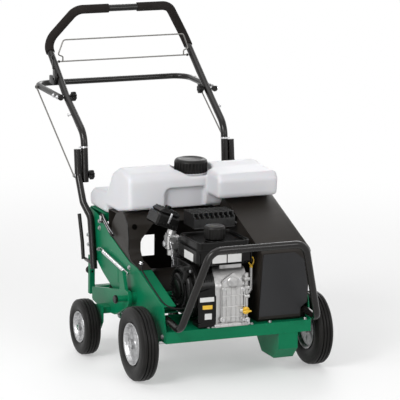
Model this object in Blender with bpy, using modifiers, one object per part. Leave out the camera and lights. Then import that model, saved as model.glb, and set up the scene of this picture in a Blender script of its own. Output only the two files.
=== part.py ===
# Walk-behind lawn aerator with a water ballast tank.
#
# Metres, +Z up. The machine drives towards -Y, so the operator stands at +Y
# and the operator's right is -X. Every coordinate below is measured from the
# front face of the front bar (y), the middle of the machine (x) and the ground
# (z); the root empty then brings the middle of the machine over the origin.

import math

import bpy
import bmesh
from mathutils import Matrix, Vector

# Fits
GAP = 0.0003
RUNNING = 0.0004

# Overall frame
FRAME_HALF = 0.270
SHEET = 0.003
INNER_HALF = FRAME_HALF - SHEET
FRONT_REACH = 0.1672
REAR_REACH = 1.2620
MIDDLE_Y = (REAR_REACH - FRONT_REACH) / 2

# Front bar and deck
BAR_BOTTOM = 0.149
DECK_TOP = 0.190
BAR_DEPTH = 0.041
BAR_WALL = 0.003
DECK_SHEET = 0.004
DECK_END = 0.280

# Wheels
FRONT_TYRE_R = 0.129
FRONT_TYRE_W = 0.063
FRONT_WHEEL_X = FRAME_HALF + 0.0555
FRONT_AXLE_Y = 0.113
FRONT_BEAD_R = 0.071
REAR_TYRE_R = 0.099
REAR_TYRE_W = 0.057
REAR_WHEEL_X = FRAME_HALF + 0.1045
REAR_AXLE_Y = 0.507
REAR_BEAD_R = 0.053
AXLE_R = 0.0095
STUB_R = 0.008
WHEEL_STEPS = 16

# Lift frame
PIVOT_Y = 0.290
PIVOT_Z = 0.245
PIVOT_TUBE_R = 0.0115
PIVOT_BOSS_R = 0.020
ARM_X = FRAME_HALF + 0.0205
ARM_W = 0.012
BRACKET_X = FRAME_HALF + 0.0625
BRACKET_T = 0.005

# Tine reel
REEL_Y = 0.430
REEL_Z = 0.172
REEL_R = 0.115
REEL_SHAFT_R = 0.0125
REEL_GUARD_R = 0.130
REEL_GUARD_T = 0.002
TINES = 6
INNER_TINE_X = 0.075
OUTER_TINE_X = FRAME_HALF - 0.080

# Drive line
CRANK_Y = 0.110
CRANK_Z = 0.310
JACK_Y = 0.270
JACK_Z = 0.360
JACK_R = 0.0095
BELT_X = 0.110
BELT_W = 0.0134
BELT_T = 0.008
CRANK_PULLEY_R = 0.030
DRIVEN_PULLEY_R = 0.085
FLANGE = 0.003
CHAIN_X = FRAME_HALF - 0.0855
CHAIN_PITCH = 0.0127
AXLE_TEETH = 24
JACK_TEETH = 9
SPROCKET_T = 0.005
IDLER_R = 0.022

# Belt guard and chain case
GUARD_X0 = 0.080
GUARD_X1 = FRAME_HALF - 0.030
GUARD_T = 0.002
GUARD_BACK = 0.374
GUARD_TOP_Y = 0.345
GUARD_TOP_Z = 0.5705
GUARD_NOSE_Z = 0.442
CASE_X0 = CHAIN_X - 0.0345
CASE_X1 = CHAIN_X + 0.0375
CASE_BOTTOM = 0.052
CASE_BACK = 0.187
CASE_BEND = 0.093
CASE_TOP_BACK = 0.234

# Handle
TUBE_R = 0.0127
FOLD_Y = 0.785
FOLD_Z = 0.585
UPPER_X = FRAME_HALF + 0.0035
LOWER_X = UPPER_X + 2 * TUBE_R + 2 * GAP
LIFT_PIVOT_Y = 0.972
LIFT_PIVOT_Z = 0.841
LIFT_BAR_R = 0.011
LIFT_BAR_X = UPPER_X + 0.030
ROD_X = LIFT_BAR_X + 0.0145
ROD_R = 0.0028
BAIL_Y = 1.115
BAIL_Z = 0.947
BAIL_R = 0.0026

# Water tank
TANK_HALF = FRAME_HALF - 0.008
TANK_FRONT = 0.372
CAP_Y = 0.450
CAP_R = 0.059

GREEN = ("green_paint", (0.02, 0.30, 0.14, 1), 0.35, 0.0)
BLACK = ("black_powder_coat", (0.035, 0.033, 0.032, 1), 0.5, 0.0)
TUBE_BLACK = ("black_tube", (0.03, 0.028, 0.027, 1), 0.4, 0.0)
RUBBER = ("rubber", (0.02, 0.02, 0.02, 1), 0.8, 0.0)
FOAM = ("foam_grip", (0.04, 0.03, 0.028, 1), 0.9, 0.0)
POLY = ("grey_polyethylene", (0.72, 0.72, 0.76, 1), 0.5, 0.0)
ALLOY = ("cast_aluminium", (0.66, 0.66, 0.67, 1), 0.4, 0.9)
ZINC = ("zinc_plate", (0.6, 0.6, 0.62, 1), 0.35, 0.9)
STEEL = ("bright_steel", (0.5, 0.5, 0.52, 1), 0.35, 1.0)
DARK_STEEL = ("dark_steel", (0.12, 0.12, 0.13, 1), 0.5, 0.8)
PLASTIC = ("black_plastic", (0.02, 0.02, 0.022, 1), 0.4, 0.0)
YELLOW = ("yellow_plastic", (0.85, 0.55, 0.05, 1), 0.4, 0.0)

MATERIALS = {}
BODIES = {}


def clear_scene():
    for item in list(bpy.data.objects):
        bpy.data.objects.remove(item, do_unlink=True)


clear_scene()
PARTS = bpy.data.collections.new("lawn_aerator")
CUTTERS = bpy.data.collections.new("cutters")
bpy.context.scene.collection.children.link(PARTS)
bpy.context.scene.collection.children.link(CUTTERS)


def material(spec):
    name, colour, rough, metal = spec
    if name not in MATERIALS:
        made = bpy.data.materials.new(name)
        made.use_nodes = True
        shader = made.node_tree.nodes["Principled BSDF"]
        shader.inputs["Base Color"].default_value = colour
        shader.inputs["Roughness"].default_value = rough
        shader.inputs["Metallic"].default_value = metal
        made.diffuse_color = colour
        MATERIALS[name] = made
    return MATERIALS[name]


def pivot(name, x, y, z, parent=None):
    """An empty on a joint's axis, which carries the pieces that move with it."""
    empty = bpy.data.objects.new(name + "_pivot", None)
    PARTS.objects.link(empty)
    here = Vector((x, y, z))
    if parent is None:
        empty.location = here
    else:
        empty.parent = BODIES[parent][0]
        empty.location = here - BODIES[parent][1]
    BODIES[name] = (empty, here)


def loose(name, mesh, place=None):
    """A work object, not yet part of the machine."""
    item = bpy.data.objects.new(name, mesh)
    CUTTERS.objects.link(item)
    if place is not None:
        item.matrix_world = place
    return item


def from_bmesh(name, work, place=None):
    mesh = bpy.data.meshes.new(name)
    work.to_mesh(mesh)
    work.free()
    return loose(name, mesh, place)


def settle(item):
    """Write an object's transform and modifiers into its mesh."""
    bpy.context.view_layer.update()
    graph = bpy.context.evaluated_depsgraph_get()
    mesh = bpy.data.meshes.new_from_object(item.evaluated_get(graph))
    mesh.transform(item.matrix_world)
    name = item.name
    bpy.data.objects.remove(item, do_unlink=True)
    work = bmesh.new()
    work.from_mesh(mesh)
    bmesh.ops.remove_doubles(work, verts=work.verts, dist=0.00001)
    work.to_mesh(mesh)
    work.free()
    return loose(name, mesh)


def box(x0, x1, y0, y1, z0, z1, bevel=0.0, segments=1):
    work = bmesh.new()
    size = Matrix.Diagonal((x1 - x0, y1 - y0, z1 - z0, 1))
    middle = Matrix.Translation(((x0 + x1) / 2, (y0 + y1) / 2, (z0 + z1) / 2))
    bmesh.ops.create_cube(work, size=1, matrix=middle @ size)
    if bevel:
        bmesh.ops.bevel(work, geom=list(work.edges), offset=bevel, segments=segments,
                        affect="EDGES", profile=0.5)
    return from_bmesh("box", work)


def rod(start, end, radius, sides=12, end_radius=None):
    """A cylinder or cone between two points."""
    start, end = Vector(start), Vector(end)
    along = end - start
    turn = along.to_track_quat("Z", "Y").to_matrix().to_4x4()
    work = bmesh.new()
    bmesh.ops.create_cone(work, cap_ends=True, segments=sides, radius1=radius,
                          radius2=radius if end_radius is None else end_radius,
                          depth=along.length)
    return from_bmesh("rod", work, Matrix.Translation((start + end) / 2) @ turn)


def rounded(points, radii, step=30):
    """A line through points whose corners are arcs of the given radii."""
    if isinstance(radii, (int, float)):
        radii = [radii] * len(points)
    points = [Vector(p) for p in points]
    line = [points[0]]
    for before, corner, after, radius in zip(points, points[1:], points[2:], radii[1:]):
        back, ahead = (before - corner).normalized(), (after - corner).normalized()
        half = back.angle(ahead) / 2
        sweep = math.pi - 2 * half
        if radius <= 0 or sweep < 0.02:
            line.append(corner)
            continue
        reach = radius / math.tan(half)
        middle = corner + (back + ahead).normalized() * (radius / math.sin(half))
        first = corner + back * reach - middle
        across = (first.cross(corner + ahead * reach - middle)).normalized()
        count = max(1, math.ceil(math.degrees(sweep) / step))
        for i in range(count + 1):
            line.append(middle + Matrix.Rotation(sweep * i / count, 3, across) @ first)
    line.append(points[-1])
    return line


def tube(points, radius, resolution=2, cyclic=False):
    """A round bar along a line: a bevelled curve with filled caps, as a mesh."""
    data = bpy.data.curves.new("tube", "CURVE")
    data.dimensions = "3D"
    data.bevel_depth = radius
    data.bevel_resolution = resolution
    data.use_fill_caps = True
    spline = data.splines.new("POLY")
    spline.points.add(len(points) - 1)
    spline.use_cyclic_u = cyclic
    for target, source in zip(spline.points, points):
        target.co = (*source, 1)
    return settle(loose("tube", data))


PLANES = {
    "YZ": Matrix(((0, 0, 1, 0), (1, 0, 0, 0), (0, 1, 0, 0), (0, 0, 0, 1))),
    "XZ": Matrix(((1, 0, 0, 0), (0, 0, -1, 0), (0, 1, 0, 0), (0, 0, 0, 1))),
    "XY": Matrix.Identity(4),
}


def outward(item):
    """Turn the faces of an inside-out solid."""
    work = bmesh.new()
    work.from_mesh(item.data)
    if work.calc_volume(signed=True) < 0:
        bmesh.ops.reverse_faces(work, faces=work.faces)
        work.to_mesh(item.data)
    work.free()
    return item


def plate(plane, low, high, *outlines):
    """A flat outline with holes, as thick as from low to high across its plane."""
    data = bpy.data.curves.new("plate", "CURVE")
    data.dimensions = "2D"
    data.fill_mode = "BOTH"
    data.extrude = (high - low) / 2
    for outline in outlines:
        spline = data.splines.new("POLY")
        spline.points.add(len(outline) - 1)
        spline.use_cyclic_u = True
        for target, source in zip(spline.points, outline):
            target.co = (source[0], source[1], 0, 1)
    middle = (low + high) / 2
    shift = {"YZ": (middle, 0, 0), "XZ": (0, middle, 0), "XY": (0, 0, middle)}[plane]
    return outward(settle(loose("plate", data, Matrix.Translation(shift) @ PLANES[plane])))


def corners(points, radii, step=45):
    """A closed outline whose corners are arcs."""
    if isinstance(radii, (int, float)):
        radii = [radii] * len(points)
    flat = [(p[0], p[1], 0) for p in points]
    count = len(flat)
    line = []
    for i in range(count):
        three = [flat[i - 1], flat[i], flat[(i + 1) % count]]
        line += [(v.x, v.y) for v in rounded(three, [0, radii[i], 0], step)[1:-1]]
    return line


def bored(radius, sides, room=RUNNING):
    """Corner radius of a many-sided bore whose flats clear a round of this radius."""
    return (radius + room) / math.cos(math.pi / sides)


def arc(x, y, radius, first, last, steps):
    """Points on an arc, with angles in degrees."""
    angles = [math.radians(first + (last - first) * i / steps) for i in range(steps + 1)]
    return [(x + radius * math.cos(a), y + radius * math.sin(a)) for a in angles]


def turned(profile, steps, at, axis="X", flip=False):
    """A profile of (radius, height) points, turned about an axis through a point."""
    mesh = bpy.data.meshes.new("turned")
    points = [(r, 0, h) for r, h in profile]
    open_ended = profile[0][0] < 1e-6 and profile[-1][0] < 1e-6
    edges = [(i, i + 1) for i in range(len(points) - 1)]
    if not open_ended:
        edges.append((len(points) - 1, 0))
    mesh.from_pydata(points, edges, [])
    turns = {
        "X": Matrix.Rotation(math.radians(90), 4, "Y"),
        "Y": Matrix.Rotation(math.radians(-90), 4, "X"),
        "Z": Matrix.Identity(4),
    }
    turn = turns[axis]
    if flip:
        turn = turn @ Matrix.Rotation(math.pi, 4, "X")
    item = loose("turned", mesh, Matrix.Translation(at) @ turn)
    screw = item.modifiers.new("Screw", "SCREW")
    screw.angle = 2 * math.pi
    screw.steps = steps
    screw.render_steps = steps
    screw.use_merge_vertices = True
    screw.merge_threshold = 0.00001
    screw.use_normal_calculate = False
    return settle(item)


def boolean(item, tool, kind):
    cut = item.modifiers.new(kind.title(), "BOOLEAN")
    cut.operation = kind
    cut.solver = "EXACT"
    cut.object = tool
    tool.hide_render = True
    tool.display_type = "WIRE"
    done = settle(item)
    bpy.data.objects.remove(tool, do_unlink=True)
    return done


def cut(item, *tools):
    for tool in tools:
        item = boolean(item, tool, "DIFFERENCE")
    return item


def fuse(item, *others):
    for other in others:
        item = boolean(item, other, "UNION")
    return item


def group(*items):
    """Separate solids as one object."""
    work = bmesh.new()
    for item in items:
        item.data.transform(item.matrix_world)
        work.from_mesh(item.data)
        bpy.data.objects.remove(item, do_unlink=True)
    return from_bmesh("group", work)


def mirrored(item):
    """The same piece on the other side of the machine."""
    mesh = item.data.copy()
    mesh.transform(item.matrix_world)
    mesh.transform(Matrix.Diagonal((-1, 1, 1, 1)))
    mesh.flip_normals()
    return loose(item.name, mesh)


def finish(item, name, spec, body="root", smooth=None):
    """Make a work object one of the machine's named pieces."""
    item.data.transform(item.matrix_world)
    item.matrix_world = Matrix.Identity(4)
    empty, here = BODIES[body]
    item.data.transform(Matrix.Translation(-here))
    item.name = name
    item.data.name = name
    item.data.materials.clear()
    item.data.materials.append(material(spec))
    if smooth:
        item.data.shade_smooth()
        item.data.set_sharp_from_angle(angle=math.radians(smooth))
    CUTTERS.objects.unlink(item)
    PARTS.objects.link(item)
    item.parent = empty
    item.hide_render = False
    item.display_type = "TEXTURED"
    return item


def pair(item, name, spec, body="root", smooth=None):
    """A piece made for the left side, and the same piece on the right."""
    other = mirrored(item)
    finish(item, name + "_left", spec, body, smooth)
    finish(other, name + "_right", spec, body, smooth)


def make_pivots():
    root = bpy.data.objects.new("lawn_aerator_root", None)
    PARTS.objects.link(root)
    root.location = (0, -MIDDLE_Y, 0)
    BODIES["root"] = (root, Vector((0, 0, 0)))
    pivot("front_axle", 0, FRONT_AXLE_Y, FRONT_TYRE_R, "root")
    pivot("jackshaft", 0, JACK_Y, JACK_Z, "root")
    pivot("crankshaft", 0, CRANK_Y, CRANK_Z, "root")
    pivot("idler_arm", 0, IDLER_PIVOT[0], IDLER_PIVOT[1], "root")
    pivot("idler_pulley", 0, *idler_centre(), "idler_arm")
    pivot("tine_shaft", 0, REEL_Y, REEL_Z, "root")
    pivot("outer_tines_right", 0, REEL_Y, REEL_Z, "tine_shaft")
    pivot("outer_tines_left", 0, REEL_Y, REEL_Z, "tine_shaft")
    pivot("lift_frame", 0, PIVOT_Y, PIVOT_Z, "root")
    pivot("rear_wheel_right", 0, REAR_AXLE_Y, REAR_TYRE_R, "lift_frame")
    pivot("rear_wheel_left", 0, REAR_AXLE_Y, REAR_TYRE_R, "lift_frame")
    pivot("upper_handle", 0, FOLD_Y, FOLD_Z, "root")
    pivot("lift_bar", 0, LIFT_PIVOT_Y, LIFT_PIVOT_Z, "upper_handle")
    pivot("lift_rods", 0, *ROD_EYE, "lift_bar")
    pivot("bail", 0, BAIL_Y, BAIL_Z, "upper_handle")
    pivot("throttle_lever", 0, *THROTTLE, "upper_handle")
    pivot("fold_knob_right", 0, FOLD_Y, FOLD_Z, "root")
    pivot("fold_knob_left", 0, FOLD_Y, FOLD_Z, "root")
    pivot("post_knob_right", -POST_X, POST_Y, POST_KNOB_Z, "root")
    pivot("post_knob_left", POST_X, POST_Y, POST_KNOB_Z, "root")
    pivot("water_cap", 0, CAP_Y, CAP_SEAT, "root")
    pivot("fuel_cap", *FUEL_CAP_AT, "root")
    pivot("oil_cap", *OIL_CAP_AT, "root")
    pivot("dipstick", *DIPSTICK_AT, "root")
    pivot("starter_grip", *GRIP_AT, "root")


# Frame


def engine_deck():
    """Square front bar, the engine deck behind it and the chain case welded below."""
    outline = [(0, BAR_BOTTOM), (BAR_DEPTH, BAR_BOTTOM), (BAR_DEPTH, DECK_TOP - DECK_SHEET),
               (DECK_END, DECK_TOP - DECK_SHEET), (DECK_END, DECK_TOP + 0.022),
               (DECK_END - DECK_SHEET, DECK_TOP + 0.022), (DECK_END - DECK_SHEET, DECK_TOP), (0, DECK_TOP)]
    hollow = [(BAR_WALL, BAR_BOTTOM + BAR_WALL), (BAR_DEPTH - BAR_WALL, BAR_BOTTOM + BAR_WALL),
              (BAR_DEPTH - BAR_WALL, DECK_TOP - BAR_WALL), (BAR_WALL, DECK_TOP - BAR_WALL)]
    half = INNER_HALF - GAP
    deck = plate("YZ", -half, half, outline, hollow)
    case = plate("YZ", CASE_X0, CASE_X1, case_outline(0))
    inside = plate("YZ", CASE_X0 + SHEET, CASE_X1 - SHEET, case_outline(SHEET))
    axle = rod((CASE_X0 - 0.01, FRONT_AXLE_Y, FRONT_TYRE_R), (CASE_X1 + 0.01, FRONT_AXLE_Y, FRONT_TYRE_R),
               AXLE_R + 0.004, 12)
    lightening = box(-FRAME_HALF + 0.035, -0.115, 0.225, 0.262, DECK_TOP - 0.02, DECK_TOP + 0.02)
    finish(cut(fuse(deck, case), inside, axle, lightening), "engine_deck", GREEN)


def case_outline(inset):
    """Side view of the chain case, drawn in by a wall's thickness."""
    sunk = 0.001
    top = DECK_TOP - DECK_SHEET + sunk + 4 * inset
    wall = BAR_DEPTH - sunk + inset * (1 + sunk / SHEET)
    ceiling = BAR_BOTTOM + sunk - inset * (1 + sunk / SHEET)
    front, bend = 0.002 + inset, inset * 0.4
    return [(wall, top), (wall, ceiling), (front, ceiling), (front, CASE_BEND + bend),
            (BAR_DEPTH + bend, CASE_BOTTOM + inset), (CASE_BACK - 0.041 - bend, CASE_BOTTOM + inset),
            (CASE_BACK - inset, CASE_BEND + bend), (CASE_TOP_BACK - inset, top)]


SIDE_OUTLINE = [
    (0.000, 0.1496), (0.078, 0.1496), (0.092, 0.106), (0.134, 0.106), (0.148, 0.149),
    (0.372, 0.149), (0.398, 0.136), (0.462, 0.136), (0.497, 0.228), (0.527, 0.236),
    (0.608, 0.265), (0.669, 0.296), (0.712, 0.300), (0.735, 0.392), (0.754, 0.462),
    (0.748, 0.477), (0.603, 0.458), (0.525, 0.412), (0.455, 0.390), (0.345, 0.359),
    (0.275, 0.354), (0.025, 0.272), (0.010, 0.215), (0.000, 0.190)]
SIDE_RADII = [0, 0, 0.012, 0.012, 0, 0, 0, 0.014, 0.012, 0,
              0, 0, 0.01, 0, 0, 0.008, 0.02, 0.02, 0, 0,
              0.015, 0.01, 0, 0]
FLANGE_IN = 0.045


def side_plate(side, name):
    """Side sheet: flanged front edge, pivot boss, bearings, spring bolt and pressed recess."""
    outer, inner = side * FRAME_HALF, side * INNER_HALF
    low, high = min(outer, inner), max(outer, inner)
    sheet = plate("YZ", low, high, corners(SIDE_OUTLINE, SIDE_RADII, 90))
    slope = Vector((0, 0.275 - 0.025, 0.354 - 0.272))
    up = Vector((0, -slope.z, slope.y)).normalized() * SHEET
    first, last = Vector((0, 0.030, 0.2735)), Vector((0, 0.270, 0.3522))
    strip = [(end.y - up.y * depth, end.z - up.z * depth) for end, depth in
             ((first, 0.25), (last, 0.25), (last, 1.25), (first, 1.25))]
    width = FLANGE_IN if side < 0 else INNER_HALF - GUARD_X1 - 0.002
    edge = side * (INNER_HALF - width)
    middle = side * (INNER_HALF + SHEET / 2)
    flange = plate("YZ", min(edge, middle), max(edge, middle), strip)
    boss = rod((side * (INNER_HALF + 0.001), PIVOT_Y, PIVOT_Z),
               (side * (ARM_X - GAP), PIVOT_Y, PIVOT_Z), PIVOT_BOSS_R, 12)
    tee = plate("YZ", min(side * (FRAME_HALF - 0.0012), side * (FRAME_HALF + 0.005)),
                max(side * (FRAME_HALF - 0.0012), side * (FRAME_HALF + 0.005)),
                [(0.407, 0.3240), (0.431, 0.3275), (0.434, 0.262), (0.458, 0.262),
                 (0.461, 0.3275), (0.523, 0.3240), (0.521, 0.361), (0.405, 0.361)])
    bolt = rod((side * (FRAME_HALF - 0.001), *SPRING_REAR),
               (side * (FRAME_HALF + 0.0165), *SPRING_REAR), 0.003, 8)
    sheet = fuse(sheet, flange, boss, bolt)
    for y, z in ((FRONT_AXLE_Y, FRONT_TYRE_R), (REEL_Y, REEL_Z)):
        sheet = fuse(sheet, bearing(side * (INNER_HALF + 0.001), -side, y, z))
    axle, reel = (FRONT_AXLE_Y, FRONT_TYRE_R), (REEL_Y, REEL_Z)
    start, end = side * (INNER_HALF - 0.017), side * (FRAME_HALF + 0.030)
    holes = group(
        rod((start, PIVOT_Y, PIVOT_Z), (end, PIVOT_Y, PIVOT_Z), bored(PIVOT_TUBE_R, 12), 12),
        rod((start, *axle), (side * (FRAME_HALF + 0.010), *axle), bored(AXLE_R, 12), 12),
        rod((start, *reel), (side * (INNER_HALF - GAP), *reel), bored(REEL_SHAFT_R, 10), 10))
    sheet = cut(sheet, tee, holes)
    finish(sheet, name, GREEN)


POST_X = FRAME_HALF + 0.010
POST_Y = 0.697
POST_HALF = 0.0095
POST_KNOB_Z = 0.250


def rear_crossbar():
    """Square crossbar welded between the two upright handle posts."""
    half = POST_X - POST_HALF
    bar = box(-half - 0.004, half + 0.004, POST_Y - 0.012, POST_Y + 0.012, 0.172, 0.196)
    for side in (-1, 1):
        post = box(side * POST_X - POST_HALF, side * POST_X + POST_HALF,
                   POST_Y - POST_HALF, POST_Y + POST_HALF, 0.168, 0.309)
        bar = fuse(bar, post)
    bores = group(*[rod((side * POST_X, POST_Y + 0.03, POST_KNOB_Z),
                        (side * POST_X, POST_Y - 0.03, POST_KNOB_Z), 0.0045, 10) for side in (-1, 1)])
    finish(cut(bar, bores), "rear_crossbar", GREEN)


def reel_guard():
    """Curved sheet over the tines, from the deck round to the rear."""
    outer = REEL_GUARD_R + REEL_GUARD_T
    shell = arc(REEL_Y, REEL_Z, outer, 168, 14, 11) + arc(REEL_Y, REEL_Z, REEL_GUARD_R, 14, 168, 11)
    half = INNER_HALF - GAP
    sheet = plate("YZ", -half, half, shell)
    finish(sheet, "reel_guard", BLACK, smooth=30)


def tank_shelf():
    """Folded cross sheet that ties the side plates and carries the tank's tail."""
    half = INNER_HALF - GAP
    top = TAIL_BOTTOM - GAP
    section = [(0.604, top), (0.604, top - 0.030), (0.607, top - 0.030), (0.607, top - SHEET),
               (0.742, top - SHEET), (0.742, top - 0.060), (0.745, top - 0.060), (0.745, top)]
    finish(plate("YZ", -half, half, section), "tank_shelf", GREEN)


def front_guard():
    """Bent tube guard round the engine and the belt guard."""
    half = [(INNER_HALF - TUBE_R - GAP, 0.034, 0.226), (INNER_HALF - TUBE_R - GAP, -0.088, 0.214),
            (INNER_HALF - 0.104, -0.155, 0.500)]
    right = [(-x, y, z) for x, y, z in half]
    line = rounded(right + list(reversed(half)), [0, 0.035, 0.05, 0.05, 0.035, 0], 30)
    guard = tube(line, TUBE_R, 2)
    finish(guard, "front_guard", TUBE_BLACK, smooth=40)


def guard_outline(inset):
    """Side view of the belt guard, drawn in by a wall's thickness."""
    slope = math.atan2(GUARD_TOP_Z - GUARD_NOSE_Z, GUARD_TOP_Y)
    drop = inset / math.cos(slope)
    return [(0.020 + inset, 0.200 - 3 * inset), (0.0 + inset, GUARD_NOSE_Z - drop),
            (GUARD_TOP_Y - inset, GUARD_TOP_Z - drop), (GUARD_BACK - inset, GUARD_TOP_Z - 0.040),
            (GUARD_BACK - inset, 0.330 - 3 * inset), (0.268 - inset, 0.270 - 3 * inset),
            (0.268 - inset, DECK_TOP + GAP - 3 * inset), (0.030 + inset, DECK_TOP + GAP - 3 * inset)]


def belt_guard():
    """Folded sheet cover over the belt drive, open below."""
    shell = plate("YZ", GUARD_X0, GUARD_X1,
                  corners(guard_outline(0), [0.002, 0.012, 0.010, 0.010, 0, 0, 0, 0], 45))
    hollow = plate("YZ", GUARD_X0 + GUARD_T, GUARD_X1 - GUARD_T,
                   corners(guard_outline(GUARD_T), [0, 0.010, 0.008, 0.008, 0, 0, 0, 0], 45))
    shaft = rod((GUARD_X0 - 0.01, CRANK_Y, CRANK_Z), (GUARD_X0 + 0.01, CRANK_Y, CRANK_Z), 0.018, 16)
    pin = rod((GUARD_X0 - 0.01, *IDLER_PIVOT), (GUARD_X0 + 0.01, *IDLER_PIVOT), 0.0055, 10)
    shell = cut(shell, hollow, shaft, pin)
    for wall, way in ((GUARD_X0 + GUARD_T - 0.001, 1), (GUARD_X1 - GUARD_T + 0.001, -1)):
        shell = fuse(shell, bearing(wall, way, JACK_Y, JACK_Z))
    bore = rod((GUARD_X0 + GUARD_T + GAP, JACK_Y, JACK_Z), (GUARD_X1 - GUARD_T - GAP, JACK_Y, JACK_Z),
               bored(JACK_R, 10), 10)
    finish(cut(shell, bore), "belt_guard", BLACK)


def arch_shroud():
    """Black arch in front of the tank: a bent front sheet and its right cheek."""
    under = tank_under
    line = [(0.291, 0.356), (0.343, 0.364), (0.368, 0.392), (0.367, 0.434), (0.376, 0.480),
            (0.398, 0.512), (0.428, under(0.428) - 0.0014), (0.484, under(0.484) - 0.0014), (0.560, 0.5045)]
    line = [(p.x, p.y) for p in rounded([(*p, 0) for p in line], 0.022, 45)]
    strip = thick_line(line, 0.001)
    wall = -(INNER_HALF - GAP)
    sheet = plate("YZ", wall, GUARD_X0 - GAP, strip)
    edge = -FRAME_HALF + 0.0485
    arch_line = [(edge, 0.30), (edge, 0.428), (edge + 0.0535, 0.486), (0.1, 0.486), (0.1, 0.30)]
    arch = plate("XZ", 0.25, 0.60, corners(arch_line, [0, 0.02, 0.02, 0, 0]))
    cheek_line = [p for p in line if p[0] < 0.50]
    cheek_line += [(0.528, 0.462), (0.536, 0.418), (0.455, 0.380), (0.360, 0.350), (0.300, 0.345)]
    cheek = plate("YZ", wall, wall + 0.002, cheek_line)
    port = rod((edge - 0.0185, 0.25, 0.476), (edge - 0.0185, 0.45, 0.476), 0.010, 12)
    sheet = cut(sheet, arch, port)
    finish(fuse(sheet, cheek), "arch_shroud", BLACK, smooth=30)


def thick_line(line, half):
    """A closed outline that follows an open line at a distance on both sides."""
    left, right = [], []
    for i, point in enumerate(line):
        a = Vector(line[max(i - 1, 0)])
        b = Vector(line[min(i + 1, len(line) - 1)])
        side = Vector((-(b - a).y, (b - a).x)).normalized() * half
        left.append((point[0] + side.x, point[1] + side.y))
        right.append((point[0] - side.x, point[1] - side.y))
    return left + list(reversed(right))


def bearing(face, way, y, z):
    """Flanged bearing housing on a wall, pointing away from it in X."""
    return turned([(0, 0.001), (0.021, 0.001), (0.021, -0.005), (0.015, -0.013), (0, -0.013)], 12,
                  (face, y, z), flip=way > 0)


# Wheels and axles


def tyre_profile(radius, width, bead):
    half = width / 2
    depth = radius - bead
    return [(bead, half * 0.74), (bead + depth * 0.45, half), (bead + depth * 0.85, half * 0.90),
            (radius, half * 0.50), (radius, -half * 0.50), (bead + depth * 0.85, -half * 0.90),
            (bead + depth * 0.45, -half), (bead, -half * 0.74)]


def rim_profile(bead, half, bore, hub):
    out = bead - GAP
    return [(out, half * 0.84), (out, -half * 0.84), (out - 0.007, -half * 0.70),
            (hub, -half * 0.76), (bore, -half * 0.76), (bore, half * 0.92), (hub, half * 0.92),
            (out - 0.008, half * 0.38)]


def front_wheels():
    """Driven axle with its chain sprocket, and a wheel keyed to each end."""
    at = (FRONT_WHEEL_X, FRONT_AXLE_Y, FRONT_TYRE_R)
    tyre = turned(tyre_profile(FRONT_TYRE_R, FRONT_TYRE_W, FRONT_BEAD_R), WHEEL_STEPS, at)
    pair(tyre, "front_tyre", RUBBER, "front_axle", 40)
    bore = bored(AXLE_R, WHEEL_STEPS, GAP)
    rim = turned(rim_profile(FRONT_BEAD_R, FRONT_TYRE_W / 2, bore, 0.017), WHEEL_STEPS, at)
    pair(rim, "front_rim", ZINC, "front_axle", 30)
    reach = FRONT_WHEEL_X + FRONT_TYRE_W / 2 - 0.001
    shaft = rod((-reach, FRONT_AXLE_Y, FRONT_TYRE_R), (reach, FRONT_AXLE_Y, FRONT_TYRE_R), AXLE_R, 12)
    hub = rod((CHAIN_X - 0.013, FRONT_AXLE_Y, FRONT_TYRE_R),
              (CHAIN_X + 0.013, FRONT_AXLE_Y, FRONT_TYRE_R), 0.019, 10)
    teeth = plate("YZ", CHAIN_X - SPROCKET_T / 2, CHAIN_X + SPROCKET_T / 2,
                  tooth_outline(FRONT_AXLE_Y, FRONT_TYRE_R, AXLE_TEETH))
    finish(fuse(shaft, hub, teeth), "front_axle", STEEL, "front_axle", 30)


def rear_wheel(side, name):
    at = (side * REAR_WHEEL_X, REAR_AXLE_Y, REAR_TYRE_R)
    body = "rear_wheel_" + name
    tyre = turned(tyre_profile(REAR_TYRE_R, REAR_TYRE_W, REAR_BEAD_R), WHEEL_STEPS, at, flip=side < 0)
    finish(tyre, "rear_tyre_" + name, RUBBER, body, 40)
    section = rim_profile(REAR_BEAD_R, REAR_TYRE_W / 2, bored(STUB_R, WHEEL_STEPS), 0.014)
    rim = turned(section, WHEEL_STEPS, at, flip=side < 0)
    finish(rim, "rear_rim_" + name, ZINC, body, 30)


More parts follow.
